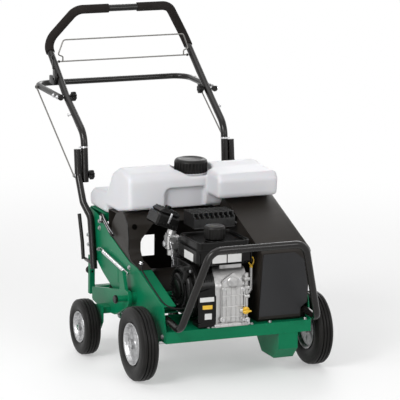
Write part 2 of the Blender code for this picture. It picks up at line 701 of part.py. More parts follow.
def lift_frame():
    """Swinging frame of the rear wheels: cross tube, arms, brackets and stub axles."""
    reach = BRACKET_X + 0.0065
    frame = rod((-reach, PIVOT_Y, PIVOT_Z), (reach, PIVOT_Y, PIVOT_Z), PIVOT_TUBE_R, 12)
    arm_line = corners(
        [(0.262, 0.245), (0.276, 0.272), (0.304, 0.272), (0.331, 0.330), (0.352, 0.331), (0.358, 0.262),
         (0.630, 0.210), (0.630, 0.164), (0.517, 0.150), (0.400, 0.161), (0.272, 0.222)],
        [0.012, 0, 0, 0.010, 0.010, 0, 0.006, 0.006, 0.02, 0.02, 0.012], 90)
    plate_line = corners(
        [(0.432, 0.188), (0.545, 0.172), (0.540, 0.082), (0.507, 0.072), (0.470, 0.082), (0.432, 0.130)],
        [0.008, 0.008, 0.014, 0.02, 0.014, 0.008], 90)
    for side in (-1, 1):
        near, far = side * ARM_X, side * (ARM_X + ARM_W)
        arm = plate("YZ", min(near, far), max(near, far), arm_line)
        near, far = side * BRACKET_X, side * (BRACKET_X + BRACKET_T)
        bracket = plate("YZ", min(near, far), max(near, far), plate_line)
        near, far = side * (ARM_X + ARM_W - 0.002), side * (BRACKET_X + 0.002)
        spacer = box(min(near, far), max(near, far), 0.446, 0.506, 0.156, 0.178)
        stub = rod((side * (BRACKET_X + 0.002), REAR_AXLE_Y, REAR_TYRE_R),
                   (side * (REAR_WHEEL_X + REAR_TYRE_W / 2 - 0.001), REAR_AXLE_Y, REAR_TYRE_R), STUB_R, 12)
        pin = rod((side * (ARM_X + 0.002), *SPRING_FRONT),
                  (side * (FRAME_HALF + 0.0035), *SPRING_FRONT), 0.003, 8)
        frame = fuse(frame, arm, bracket, spacer, stub, pin)
        plug = rod((side * (reach - 0.001), PIVOT_Y, PIVOT_Z), (side * (reach + 0.006), PIVOT_Y, PIVOT_Z),
                   PIVOT_TUBE_R + 0.001, 12)
        frame = fuse(frame, plug)
    finish(frame, "lift_frame", GREEN, "lift_frame", 30)


# Lift springs

SPRING_FRONT = (0.343, 0.320)
SPRING_REAR = (0.606, 0.351)
SPRING_X = FRAME_HALF + 0.0102
COIL_R = 0.0052
SPRING_WIRE_R = 0.0013
SPRING_CURLS = 10
CURL_POINTS = 8
SPRING_REACH = 0.028


def spring_line():
    """Hook, close coil and hook of an extension spring, in its own frame along +X."""
    length = math.dist(SPRING_FRONT, SPRING_REAR)
    first, last = SPRING_REACH, length - SPRING_REACH
    count = SPRING_CURLS * CURL_POINTS
    coil = []
    for i in range(count + 1):
        angle = 2 * math.pi * i / CURL_POINTS
        along = first + (last - first) * i / count
        coil.append((along, COIL_R * math.cos(angle), COIL_R * math.sin(angle)))
    eye = 0.0048
    start = [(eye * math.cos(a), eye * math.sin(a), 0) for a in
             [math.radians(v) for v in (-40, -85, -130, -175, 140, 95, 60)]]
    start.append((SPRING_REACH * 0.6, COIL_R, 0))
    end = [(length - x, y, z) for x, y, z in reversed(start)]
    return start + coil + end


def spring_gap(line):
    """Least clearance between the turns of the spring's wire."""
    least = 1.0
    for i, a in enumerate(line):
        for b in line[i + CURL_POINTS - 2:]:
            least = min(least, math.dist(a, b))
    return least - 2 * SPRING_WIRE_R


def lift_springs():
    line = spring_line()
    gap = spring_gap(line) * 1000
    print("spring: %d curls, least gap to itself %.2f mm" % (SPRING_CURLS, gap))
    (y0, z0), (y1, z1) = SPRING_FRONT, SPRING_REAR
    tilt = math.atan2(z1 - z0, y1 - y0)
    placed = [(SPRING_X + z, y0 + x * math.cos(tilt) - y * math.sin(tilt),
               z0 + x * math.sin(tilt) + y * math.cos(tilt)) for x, y, z in line]
    spring = tube(placed, SPRING_WIRE_R, 1)
    pair(spring, "lift_spring", STEEL, smooth=60)


# Tine reel


def tine_wheel(x, bore=0.0):
    """Hub and disc with hollow coring tines round it."""
    at = (x, REEL_Y, REEL_Z)
    profile = [(0.021, 0.014), (0.021, 0.003), (0.050, 0.003), (0.050, -0.003), (0.021, -0.003),
               (0.021, -0.014)]
    wheel = turned([(bore, 0.014), *profile, (bore, -0.014)], 10, at)
    tines, bores = [], []
    for i in range(TINES):
        angle = 2 * math.pi * (i + 0.5) / TINES
        out = Vector((0, math.cos(angle), math.sin(angle)))
        base = Vector(at)
        tines.append(rod(base + out * 0.036, base + out * REEL_R, 0.0085, 5, 0.0072))
        bores.append(rod(base + out * 0.066, base + out * (REEL_R + 0.004), 0.0042, 4))
    wheel = fuse(wheel, group(*tines))
    return cut(wheel, group(*bores))


def tine_reel():
    """Shaft with its two fixed tine wheels, and a loose wheel at each end."""
    half = INNER_HALF - 2 * GAP
    shaft = rod((-half, REEL_Y, REEL_Z), (half, REEL_Y, REEL_Z), REEL_SHAFT_R, 10)
    wheel = tine_wheel(INNER_TINE_X)
    other = mirrored(wheel)
    finish(fuse(shaft, wheel, other), "tine_shaft", DARK_STEEL, "tine_shaft", 30)
    outer = tine_wheel(OUTER_TINE_X, bored(REEL_SHAFT_R, 10, GAP))
    other = mirrored(outer)
    finish(outer, "outer_tine_wheel_left", DARK_STEEL, "outer_tines_left", 30)
    finish(other, "outer_tine_wheel_right", DARK_STEEL, "outer_tines_right", 30)


# Drive line

IDLER_PIVOT = (0.225, 0.500)
IDLER_OFF = 0.006


def sprocket_radius(teeth):
    return CHAIN_PITCH / (2 * math.sin(math.pi / teeth))


def tangent_angle(first, r0, second, r1):
    """Angle of the outer tangent of two circles, from the line between them."""
    return math.acos((r0 - r1) / math.dist(first, second))


def loop(first, r0, second, r1, steps=9):
    """A belt's line round two circles, as an outline."""
    base = math.atan2(second[1] - first[1], second[0] - first[0])
    half = tangent_angle(first, r0, second, r1)
    a = [math.degrees(base + half), math.degrees(base - half + 2 * math.pi)]
    b = [math.degrees(base - half), math.degrees(base + half)]
    return arc(*first, r0, a[0], a[1], steps) + arc(*second, r1, b[0], b[1], steps)


def idler_centre():
    """Where the idler pulley stands off the belt's upper run while the clutch is out."""
    first, second = Vector((CRANK_Y, CRANK_Z)), Vector((JACK_Y, JACK_Z))
    base = math.atan2(second.y - first.y, second.x - first.x)
    half = tangent_angle(first, CRANK_PULLEY_R, second, DRIVEN_PULLEY_R)
    side = Vector((math.cos(base + half), math.sin(base + half)))
    start = first + side * (CRANK_PULLEY_R + IDLER_R + IDLER_OFF)
    end = second + side * (DRIVEN_PULLEY_R + IDLER_R + IDLER_OFF)
    middle = start.lerp(end, 0.38)
    return middle.x, middle.y


def drive_belt():
    first, second = (CRANK_Y, CRANK_Z), (JACK_Y, JACK_Z)
    out = loop(first, CRANK_PULLEY_R, second, DRIVEN_PULLEY_R, 10)
    inside = loop(first, CRANK_PULLEY_R - BELT_T, second, DRIVEN_PULLEY_R - BELT_T, 10)
    belt = plate("YZ", BELT_X - BELT_W / 2, BELT_X + BELT_W / 2, out, inside)
    finish(belt, "drive_belt", RUBBER, smooth=30)


def crankshaft():
    """Engine output shaft with the small pulley on it."""
    w = BELT_W / 2 + GAP
    r = CRANK_PULLEY_R + 0.001
    floor = CRANK_PULLEY_R - BELT_T - 0.0020
    start = BOSS_END - BELT_X + GAP
    profile = [(0, w + FLANGE + 0.004), (0.0125, w + FLANGE + 0.004), (0.0125, w + FLANGE), (r, w + FLANGE),
               (r, w), (floor, w), (floor, -w), (r, -w), (r, -w - FLANGE), (0.0125, -w - FLANGE),
               (0.0125, start), (0, start)]
    finish(turned(profile, 12, (BELT_X, CRANK_Y, CRANK_Z)), "crankshaft_pulley", STEEL, "crankshaft", 30)


def jackshaft():
    """Cross shaft with its small sprocket and the large pulley keyed to it."""
    start = GUARD_X0 + GUARD_T + 2 * GAP - CHAIN_X
    end = GUARD_X1 - GUARD_T - 2 * GAP - CHAIN_X
    root = sprocket_radius(JACK_TEETH) - 0.0045
    hub = [(0, end), (JACK_R, end), (JACK_R, 0.012), (root, 0.012), (root, -0.012), (JACK_R, -0.012),
           (JACK_R, start), (0, start)]
    shaft = turned(hub, 10, (CHAIN_X, JACK_Y, JACK_Z))
    teeth = plate("YZ", CHAIN_X - SPROCKET_T / 2, CHAIN_X + SPROCKET_T / 2,
                  tooth_outline(JACK_Y, JACK_Z, JACK_TEETH))
    w = BELT_W / 2 + GAP
    r = DRIVEN_PULLEY_R + 0.001
    floor = DRIVEN_PULLEY_R - BELT_T - 0.0035
    profile = [(0, 0.003), (floor - 0.008, 0.003), (floor - 0.006, w + FLANGE), (r, w + FLANGE), (r, w),
               (floor, w), (floor, -w), (r, -w), (r, -w - FLANGE), (floor - 0.006, -w - FLANGE),
               (floor - 0.008, -0.003), (0, -0.003)]
    pulley = turned(profile, 16, (BELT_X, JACK_Y, JACK_Z))
    finish(fuse(shaft, teeth, pulley), "jackshaft", DARK_STEEL, "jackshaft", 30)


def tooth_outline(y, z, teeth):
    """Outline of a chain sprocket."""
    pitch = sprocket_radius(teeth)
    points = []
    for i in range(teeth):
        for part, radius in ((0.0, pitch - 0.0040), (0.5, pitch + 0.0034)):
            angle = 2 * math.pi * (i + part) / teeth
            points.append((y + radius * math.cos(angle), z + radius * math.sin(angle)))
    return points


def drive_chain():
    """Two rows of link plates with pins between them, on the straight runs."""
    first, second = (FRONT_AXLE_Y, FRONT_TYRE_R), (JACK_Y, JACK_Z)
    r0, r1 = sprocket_radius(AXLE_TEETH), sprocket_radius(JACK_TEETH)
    rows = []
    for side in (-1, 1):
        near = CHAIN_X + side * (SPROCKET_T / 2 + 0.0006)
        far = near + side * 0.002
        rows.append(plate("YZ", min(near, far), max(near, far),
                          loop(first, r0 + 0.004, second, r1 + 0.004, 6),
                          loop(first, r0 - 0.004, second, r1 - 0.004, 6)))
    base = math.atan2(second[1] - first[1], second[0] - first[0])
    half = tangent_angle(first, r0, second, r1)
    pins = []
    for angle in (base + half, base - half):
        side = Vector((math.cos(angle), math.sin(angle)))
        start = Vector(first) + side * r0
        end = Vector(second) + side * r1
        for i in range(4, 18, 4):
            spot = start.lerp(end, i / 20)
            reach = SPROCKET_T / 2 + 0.0016
            pins.append(rod((CHAIN_X - reach, spot.x, spot.y), (CHAIN_X + reach, spot.x, spot.y), 0.0025, 5))
    finish(fuse(group(*rows), group(*pins)), "drive_chain", DARK_STEEL, smooth=30)


def idler():
    """Clutch idler: a pivoted arm inside the guard, with a flat pulley on it."""
    centre = idler_centre()
    side_x = GUARD_X0 + GUARD_T + GAP
    arm_x0, arm_x1 = side_x, side_x + 0.004
    line = loop(IDLER_PIVOT, 0.012, centre, 0.009, 6)
    arm = plate("YZ", arm_x0, arm_x1, line)
    post = rod((GUARD_X0 - 0.004, *IDLER_PIVOT), (arm_x0 + 0.002, *IDLER_PIVOT), 0.005, 10)
    stub = rod((arm_x1 - 0.002, *centre), (BELT_X + BELT_W / 2, *centre), 0.005, 12)
    finish(fuse(arm, post, stub), "idler_arm", STEEL, "idler_arm", 40)
    rim = IDLER_R + 0.002
    pulley = turned([(rim, 0.0095), (rim, 0.0075), (IDLER_R, 0.0070), (IDLER_R, -0.0070), (rim, -0.0075),
                     (rim, -0.0095), (0.0054, -0.0095), (0.0054, 0.0095)], 12, (BELT_X, *centre))
    finish(pulley, "idler_pulley", DARK_STEEL, "idler_pulley", 30)


# Engine

CASE_LEFT = 0.035
CYLINDER_X0 = -0.070
CYLINDER_BASE = (0.222, 0.352)
CYLINDER_LEAN = 25
BOSS_END = 0.050
OIL_CAP_AT = (0.024, 0.0137, 0.243)
DIPSTICK_AT = (0.0635, 0.050, 0.380)
BLOCK_TOP = 0.392
TANK_BASE = BLOCK_TOP + 0.013
FUEL_CAP_AT = (-0.066, 0.070, TANK_BASE + 0.084)
GRIP_AT = (-0.176, 0.040, 0.398)


def engine_block():
    """Crankcase and finned cylinder in one casting, with the filler pipe for the oil."""
    foot = box(-0.100, 0.040, 0.004, 0.208, DECK_TOP + GAP, DECK_TOP + 0.014)
    high, low = (leaning(0.001, across) for across in (0.036, -0.036))
    side = corners([(0.014, 0.196), (0.014, 0.335), (0.045, BLOCK_TOP - 0.007), (0.160, BLOCK_TOP), high, low,
                    (0.198, 0.300), (0.198, 0.196)], [0.004, 0.02, 0.02, 0.02, 0, 0, 0.01, 0.004], 30)
    block = plate("YZ", -0.0847, CASE_LEFT, side)
    boss = rod((CASE_LEFT - 0.002, CRANK_Y, CRANK_Z), (BOSS_END, CRANK_Y, CRANK_Z), 0.046, 12, 0.030)
    cover = rod((CASE_LEFT - 0.002, CRANK_Y, CRANK_Z), (CASE_LEFT + 0.006, CRANK_Y, CRANK_Z), 0.074, 14)
    nose = box(-0.064, 0.020, 0.004, 0.020, 0.200, 0.330, 0.006)
    pad = box(-0.055, 0.026, 0.050, 0.150, 0.380, TANK_BASE - GAP)
    pipe = rod((DIPSTICK_AT[0] - 0.030, 0.050, 0.262), (DIPSTICK_AT[0], 0.050, 0.306), 0.007, 8)
    neck = rod((DIPSTICK_AT[0], 0.050, 0.300), (DIPSTICK_AT[0], 0.050, DIPSTICK_AT[2] - GAP), 0.0062, 8)
    case = fuse(foot, block, cover, boss, nose, pad, pipe, neck, cylinder())
    bore = rod((DIPSTICK_AT[0], 0.050, 0.350), (DIPSTICK_AT[0], 0.050, 0.40), 0.0040, 8)
    shaft = rod((BOSS_END - 0.004, CRANK_Y, CRANK_Z), (BOSS_END + 0.01, CRANK_Y, CRANK_Z), 0.014, 12)
    finish(cut(case, bore, shaft), "engine_block", ALLOY, smooth=30)


def comb(length, height, root, fins, width):
    """Outline of a finned block: fins stand up and down from a core."""
    points = []
    pitch = length / fins
    for i in range(fins):
        x = i * pitch
        points += [(x, root), (x, height), (x + width, height), (x + width, root)]
    points.append((length, root))
    points.append((length, -root))
    for i in reversed(range(fins)):
        x = i * pitch
        points += [(x + width, -root), (x + width, -height), (x, -height), (x, -root)]
    return points[1:-1]


def leaning(along, across):
    """A point in the side view, measured along and across the cylinder's axis."""
    slope = math.radians(CYLINDER_LEAN)
    y = CYLINDER_BASE[0] + along * math.cos(slope) - across * math.sin(slope)
    z = CYLINDER_BASE[1] + along * math.sin(slope) + across * math.cos(slope)
    return y, z


def cylinder():
    """Finned cylinder and head, leaning back from the crankcase."""
    fins = [leaning(*point) for point in comb(0.108, 0.047, 0.036, 7, 0.006)]
    block = plate("YZ", CYLINDER_X0, 0.025, fins)
    cover = [(0.096, -0.035), (0.132, -0.030), (0.132, 0.030), (0.096, 0.035)]
    head = plate("YZ", -0.064, 0.020, corners([leaning(*point) for point in cover], 0.006, 45))
    exhaust = rod((-0.010, 0.262, 0.420), (-0.010, 0.262, MUFFLER_Z - GAP), 0.011, 12)
    return fuse(block, head, exhaust)


MUFFLER_Z = 0.492


def muffler():
    """Silencer inside its slatted guard."""
    first, last, slats, width = -0.084, 0.070, 9, 0.006
    pitch = (last - first - width) / (slats - 1)
    line = [(last, MUFFLER_Z), (first, MUFFLER_Z)]
    for i in range(slats):
        x = first + i * pitch
        line += [(x, MUFFLER_Z + 0.050), (x + width, MUFFLER_Z + 0.050)]
        if i < slats - 1:
            line += [(x + width, MUFFLER_Z + 0.030), (x + pitch, MUFFLER_Z + 0.030)]
    guard = plate("XZ", 0.210, 0.306, line)
    notch = box(first - 0.01, last + 0.01, 0.200, 0.222, MUFFLER_Z + 0.040, MUFFLER_Z + 0.06)
    finish(cut(guard, notch), "muffler", DARK_STEEL)


def fuel_tank():
    seam = TANK_BASE + 0.065
    shell = box(-0.156, 0.0495, 0.003, 0.198, TANK_BASE, seam, 0.012, 1)
    lid_line = [(-0.150, 0.009), (0.0435, 0.009), (0.0435, 0.192), (-0.150, 0.192)]
    well_line = [(-0.138, 0.022), (0.032, 0.022), (0.032, 0.178), (-0.138, 0.178)]
    lid = plate("XY", seam - 0.010, seam + 0.014, corners(lid_line, 0.02, 30))
    well = plate("XY", seam + 0.008, seam + 0.030, corners(well_line, 0.02, 30))
    x, y, z = FUEL_CAP_AT
    neck = rod((x, y, seam), (x, y, z - GAP), 0.026, 18)
    finish(fuse(cut(fuse(shell, lid), well), neck), "fuel_tank", PLASTIC, smooth=40)


def blower_housing():
    """Fan shroud that carries the air round to the cylinder."""
    line = arc(CRANK_Y, CRANK_Z, 0.102, 250, 116, 8)
    top = BLOCK_TOP + 0.0105
    line += [(0.130, top), (0.204, top), (0.212, BLOCK_TOP - 0.007), (0.212, 0.235), (0.190, 0.212)]
    housing = plate("YZ", -0.157, -0.085, corners(line, [0] * 9 + [0.01, 0.02, 0.02, 0.02, 0.01], 45))
    finish(housing, "blower_housing", PLASTIC, smooth=30)


def recoil_starter():
    """Dished starter cover with its air slots."""
    at = (-0.157 - GAP, CRANK_Y, CRANK_Z)
    profile = [(0, 0), (0.080, 0), (0.080, -0.010), (0.074, -0.018), (0.050, -0.030), (0.030, -0.033),
               (0, -0.033)]
    dish = turned(profile, 16, at)
    slots = []
    for i in range(8):
        angle = 2 * math.pi * i / 8
        out = Vector((0, math.cos(angle), math.sin(angle)))
        base = Vector((-0.192, CRANK_Y, CRANK_Z))
        slots.append(rod(base + out * 0.052 + Vector((-0.02, 0, 0)),
                         base + out * 0.064 + Vector((0.018, 0, 0)), 0.0045, 5))
    dish = cut(dish, group(*slots))
    x, y, z = GRIP_AT
    outlet = rod((x, y + 0.030, z - 0.060), (x, y + 0.006, z - 0.0125), 0.010, 12, 0.008)
    well = rod((x, y + 0.024, z - 0.048), (x, y, z), 0.0030, 8)
    finish(cut(fuse(dish, outlet), well), "recoil_starter", PLASTIC, smooth=30)


def starter_grip():
    x, y, z = GRIP_AT
    handle = box(x - 0.018, x + 0.016, y - 0.006, y + 0.006, z - 0.0065, z + 0.0075, 0.004, 2)
    rope = rod((x, y + 0.0195, z - 0.039), (x, y, z), 0.0020, 8)
    finish(fuse(handle, rope), "starter_grip", PLASTIC, "starter_grip", 40)


CLEANER_BOTTOM = -0.030


def cleaner_frame():
    """Place and tilt of the air cleaner."""
    return Matrix.Translation((-0.176, 0, 0.530)) @ Matrix.Rotation(math.radians(22), 4, "Y")


def air_cleaner():
    """Tilted filter box with its ribbed cover."""
    base = box(-0.045, 0.040, 0.206, 0.304, CLEANER_BOTTOM, 0.014, 0.006)
    lid = box(-0.041, 0.036, 0.210, 0.300, 0.012, 0.030, 0.008)
    ribs = [box(x, x + 0.004, 0.214, 0.296, 0.024, 0.034) for x in (-0.030, -0.018, -0.006, 0.006, 0.018)]
    cleaner = fuse(base, lid, group(*ribs))
    cleaner.data.transform(cleaner_frame())
    finish(cleaner, "air_cleaner", PLASTIC)


def carburettor():
    body = box(-0.176, -0.130, 0.222, 0.262, 0.420, 0.470, 0.004)
    bowl = rod((-0.153, 0.242, 0.400), (-0.153, 0.242, 0.424), 0.017, 10)
    bend = (-0.092, 0.262, 0.412)
    intake = fuse(rod((-0.142, 0.242, 0.443), bend, 0.012, 8),
                  rod((bend[0] - 0.004, bend[1], bend[2]), (CYLINDER_X0 - GAP, bend[1], bend[2]), 0.0135, 8))
    under = cleaner_frame() @ Vector((0.038, 0.242, CLEANER_BOTTOM - GAP))
    up = cleaner_frame().to_3x3() @ Vector((0, 0, 1))
    horn = rod(under - up * 0.024, under, 0.016, 10)
    lever = box(-0.182, -0.174, 0.228, 0.234, 0.440, 0.482)
    finish(fuse(body, bowl, intake, horn, lever), "carburettor", ALLOY, smooth=40)


def engine_caps():
    x, y, z = FUEL_CAP_AT
    cap = knurled((x, y, z), "Z", 0.037, 0.044, 11)
    finish(cap, "fuel_cap", PLASTIC, "fuel_cap", 30)
    x, y, z = OIL_CAP_AT
    profile = [(0, 0.018), (0.006, 0.018), (0.006, 0.009), (0.013, 0.007), (0.013, 0), (0, 0)]
    knob = turned(profile, 14, (x, 0.004 - GAP, z), "Y", flip=True)
    wing = box(x - 0.014, x + 0.014, -0.020, -0.006, z - 0.003, z + 0.003, 0.002)
    finish(fuse(knob, wing), "oil_cap", YELLOW, "oil_cap", 40)
    x, y, z = DIPSTICK_AT
    profile = [(0, 0.010), (0.0035, 0.010), (0.0065, 0.004), (0.0065, 0), (0.0032, 0), (0.0032, -0.026),
               (0, -0.026)]
    plug = turned(profile, 8, (x, y, z))
    plug.data.transform(Matrix.Translation((-x, -y, -z)))
    plug.data.transform(Matrix.Rotation(math.radians(-90), 4, "Y"))
    plug.data.transform(Matrix.Translation((x, y, z)))
    loop_line = [(x + 0.0095 * math.sin(a), y, z + 0.0225 - 0.0145 * math.cos(a)) for a in
                 [2 * math.pi * i / 10 for i in range(10)]]
    handle = tube(loop_line, 0.0022, 1, cyclic=True)
    finish(fuse(plug, handle), "dipstick", YELLOW, "dipstick", 40)


def knurled(at, axis, radius, height, ribs):
    """A screw cap with grip ribs round its skirt."""
    outline = []
    for i in range(ribs):
        for part, out in ((0.0, radius), (0.5, radius), (0.75, radius - 0.0028)):
            angle = 2 * math.pi * (i + part) / ribs
            outline.append((at[0] + out * math.cos(angle), at[1] + out * math.sin(angle)))
    skirt = plate("XY", at[2], at[2] + height * 0.82, outline)
    crown = turned([(0, height), (radius * 0.82, height), (radius * 0.93, height * 0.90),
                    (radius * 0.93, height * 0.7), (0, height * 0.7)], 14, at, axis)
    return fuse(skirt, crown)


# Water tank

TAIL_BOTTOM = 0.480
CAP_SEAT = 0.6455
TANK_LINE = [(0.372, 0.5365), (0.379, 0.640), (0.396, 0.657), (0.478, 0.672), (0.545, 0.640), (0.600, 0.562),
             (0.742, 0.548), (0.772, 0.522), (0.767, TAIL_BOTTOM), (0.602, TAIL_BOTTOM), (0.594, 0.5060),
             (0.484, 0.5075)]
TANK_ROUND = [0.016, 0.018, 0.03, 0.04, 0.03, 0.03, 0.02, 0.016, 0.014, 0.008, 0.008, 0.02]
TANK_EDGE = 0.012


def tank_under(y):
    """Height of the tank's underside above the arch."""
    return 0.5365 + (0.5075 - 0.5365) * (y - 0.372) / (0.484 - 0.372)


def drawn_in(points, inset):
    """An outline drawn in by a distance all round."""
    count = len(points)
    area = sum(points[i - 1][0] * points[i][1] - points[i][0] * points[i - 1][1] for i in range(count))
    turn = math.copysign(1, area)
    line = []
    for i in range(count):
        before, here, after = (Vector(points[j % count]) for j in (i - 1, i, i + 1))
        a, b = (here - before).normalized(), (after - here).normalized()
        na, nb = Vector((-a.y, a.x)) * turn, Vector((-b.y, b.x)) * turn
        line.append(tuple(here + (na + nb) * inset / (1 + na.dot(nb))))
    return line


def moulded(points, radii, low, high, edge, step=45):
    """A solid whose side outline is rounded over towards both its ends in X."""
    if isinstance(radii, (int, float)):
        radii = [radii] * len(points)
    slices = [(low, edge), (low + 0.3 * edge, 0.3 * edge), (low + edge, 0.0),
              (high - edge, 0.0), (high - 0.3 * edge, 0.3 * edge), (high, edge)]
    work = bmesh.new()
    rings = []
    for x, inset in slices:
        line = corners(drawn_in(points, inset), [max(r - inset, 0.003) for r in radii], step)
        rings.append([work.verts.new((x, y, z)) for y, z in line])
    count = len(rings[0])
    for first, second in zip(rings, rings[1:]):
        for i in range(count):
            j = (i + 1) % count
            work.faces.new((first[i], first[j], second[j], second[i]))
    work.faces.new(rings[0])
    work.faces.new(rings[-1])
    bmesh.ops.recalc_face_normals(work, faces=work.faces)
    return from_bmesh("moulded", work)


def water_tank():
    """Moulded ballast tank: main body, tail, forward box and cap well."""
    main = moulded(TANK_LINE, TANK_ROUND, -TANK_HALF, TANK_HALF, TANK_EDGE)
    box_line = [(0.278, 0.5735), (0.272, 0.640), (0.292, 0.661), (0.470, 0.661), (0.470, 0.5735)]
    nose = moulded(box_line, 0.016, 0.034, TANK_HALF - 0.0004, TANK_EDGE)
    tank = fuse(main, nose)
    hollow = [(-0.126, 0.50), (0.026, 0.50), (0.026, 0.604), (-0.126, 0.604)]
    recess = plate("XZ", TANK_FRONT - 0.02, TANK_FRONT + 0.022, corners(hollow, [0, 0, 0.01, 0.02], 45))
    well = rod((0, CAP_Y, CAP_SEAT - 0.006), (0, CAP_Y, 0.70), 0.074, 20)
    neck = rod((0, CAP_Y, CAP_SEAT - 0.010), (0, CAP_Y, CAP_SEAT - GAP), 0.052, 16)
    tank = fuse(cut(tank, recess, well), neck)
    finish(tank, "water_tank", POLY, smooth=35)


def water_cap():
    finish(knurled((0, CAP_Y, CAP_SEAT), "Z", CAP_R, 0.046, 14), "water_cap", PLASTIC, "water_cap", 30)


def tank_straps():
    """Rubber latches with wire hooks that hold the tank to the side plates."""
    end, middle = FRAME_HALF + 0.0035, FRAME_HALF + 0.0075
    line = rounded([(end, 0.602, 0.474), (middle, 0.570, 0.462), (middle, 0.520, 0.438),
                    (end, 0.492, 0.424)], 0.01, 30)
    strap = tube(line, 0.0031, 1)
    catch = box(FRAME_HALF + GAP, FRAME_HALF + 0.0115, 0.594, 0.612, 0.4485, 0.4790)
    pair(fuse(strap, catch), "tank_strap", RUBBER, smooth=40)


# Handle

SLEEVE_R = 0.0068
ELBOW = (UPPER_X + 0.0005, 1.195, 1.007)
CORNER = (UPPER_X - 0.0895, 1.129, 1.135)
ROD_EYE = (REAR_REACH - 0.076, LIFT_PIVOT_Z + 0.0035)
THROTTLE = (1.050, 0.9375)
THROTTLE_X = UPPER_X + 0.0263
THROTTLE_PIN_R = 0.0030


def lower_legs():
    """Tubes from the side plates up to the fold joint."""
    at = FRAME_HALF + TUBE_R + GAP
    line = rounded([(at, 0.663, 0.266), (at, 0.700, 0.448), (LOWER_X, FOLD_Y - 0.052, FOLD_Z - 0.089),
                    (LOWER_X, FOLD_Y, FOLD_Z), (LOWER_X, FOLD_Y + 0.011, FOLD_Z + 0.095)], 0.05, 20)
    leg = tube(line, TUBE_R, 2)
    hole = rod((UPPER_X - 0.0235, FOLD_Y, FOLD_Z), (LOWER_X + 0.030, FOLD_Y, FOLD_Z), 0.0045, 10)
    pair(fuse(cut(leg, hole), cable_sleeve()), "lower_leg", TUBE_BLACK, smooth=40)


def handle_line():
    half = [(UPPER_X, FOLD_Y - 0.003, FOLD_Z - 0.025), (UPPER_X, FOLD_Y + 0.012, FOLD_Z + 0.147),
            (UPPER_X + 0.004, LIFT_PIVOT_Y, LIFT_PIVOT_Z), ELBOW, CORNER]
    right = [(-x, y, z) for x, y, z in half]
    return right + list(reversed(half))


def upper_handle():
    """Bent tube with the throttle lever's bracket on its right upright."""
    line = rounded(handle_line(), [0, 0.08, 0.2, 0.05, 0.05, 0.05, 0.05, 0.2, 0.08, 0], 30)
    handle = tube(line, TUBE_R, 2)
    holes = []
    for side in (-1, 1):
        near, far = side * (UPPER_X - 0.0235), side * (UPPER_X + 0.0565)
        bail_start, bail_end = side * (UPPER_X - 0.0335), side * (UPPER_X - 0.0035)
        holes.append(rod((near, FOLD_Y, FOLD_Z), (far, FOLD_Y, FOLD_Z), 0.0045, 8))
        holes.append(rod((near, LIFT_PIVOT_Y, LIFT_PIVOT_Z), (far, LIFT_PIVOT_Y, LIFT_PIVOT_Z), 0.0045, 8))
        holes.append(rod((bail_start, BAIL_Y, BAIL_Z), (bail_end, BAIL_Y, BAIL_Z), bored(BAIL_R, 8), 8))
    seat = Vector((UPPER_X + 0.0034, THROTTLE[0] - 0.003, 0.8988))
    strap = plate("YZ", -THROTTLE_X, -THROTTLE_X + 0.003, loop((seat.y, seat.z), 0.008, THROTTLE, 0.009, 4))
    foot = rod((-seat.x, seat.y, seat.z), (-THROTTLE_X + 0.001, seat.y, seat.z), 0.006, 8)
    holes.append(rod((-THROTTLE_X - 0.01, *THROTTLE), (-THROTTLE_X + 0.01, *THROTTLE),
                     bored(THROTTLE_PIN_R, 8), 8))
    finish(cut(fuse(handle, foot, strap), group(*holes)), "upper_handle", TUBE_BLACK, "upper_handle", 40)


def handle_grips():
    """Foam grips round both top corners, from the middle of the bar to the elbows."""
    half = [(0.057, CORNER[1], CORNER[2]), CORNER, ELBOW]
    line = rounded(half, [0, 0.05, 0], 30)
    end = Vector(ELBOW) + (Vector(CORNER) - Vector(ELBOW)) * 0.30
    line[-1] = end
    sleeve = tube(line, TUBE_R + 0.0040, 2)
    bore = [Vector(v) for v in line]
    bore[0] = bore[0] - (bore[1] - bore[0]).normalized() * 0.01
    bore[-1] = bore[-1] + (bore[-1] - bore[-2]).normalized() * 0.01
    core = tube(bore, TUBE_R + 2 * GAP, 2)
    pair(cut(sleeve, core), "handle_grip", FOAM, "upper_handle", 40)


def bail():
    """Wire control bail: cross rod and raised loop."""
    end, loop_half = UPPER_X - 0.0115, UPPER_X - 0.0335
    cross = rod((-end, BAIL_Y, BAIL_Z), (end, BAIL_Y, BAIL_Z), BAIL_R, 8)
    line = rounded([(-loop_half, BAIL_Y, BAIL_Z - 0.0005), (-loop_half, BAIL_Y, BAIL_Z + 0.080),
                    (loop_half, BAIL_Y, BAIL_Z + 0.080), (loop_half, BAIL_Y, BAIL_Z - 0.0005)], 0.022, 22)
    hoop = tube(line, BAIL_R, 1)
    finish(fuse(cross, hoop), "bail", STEEL, "bail", 40)


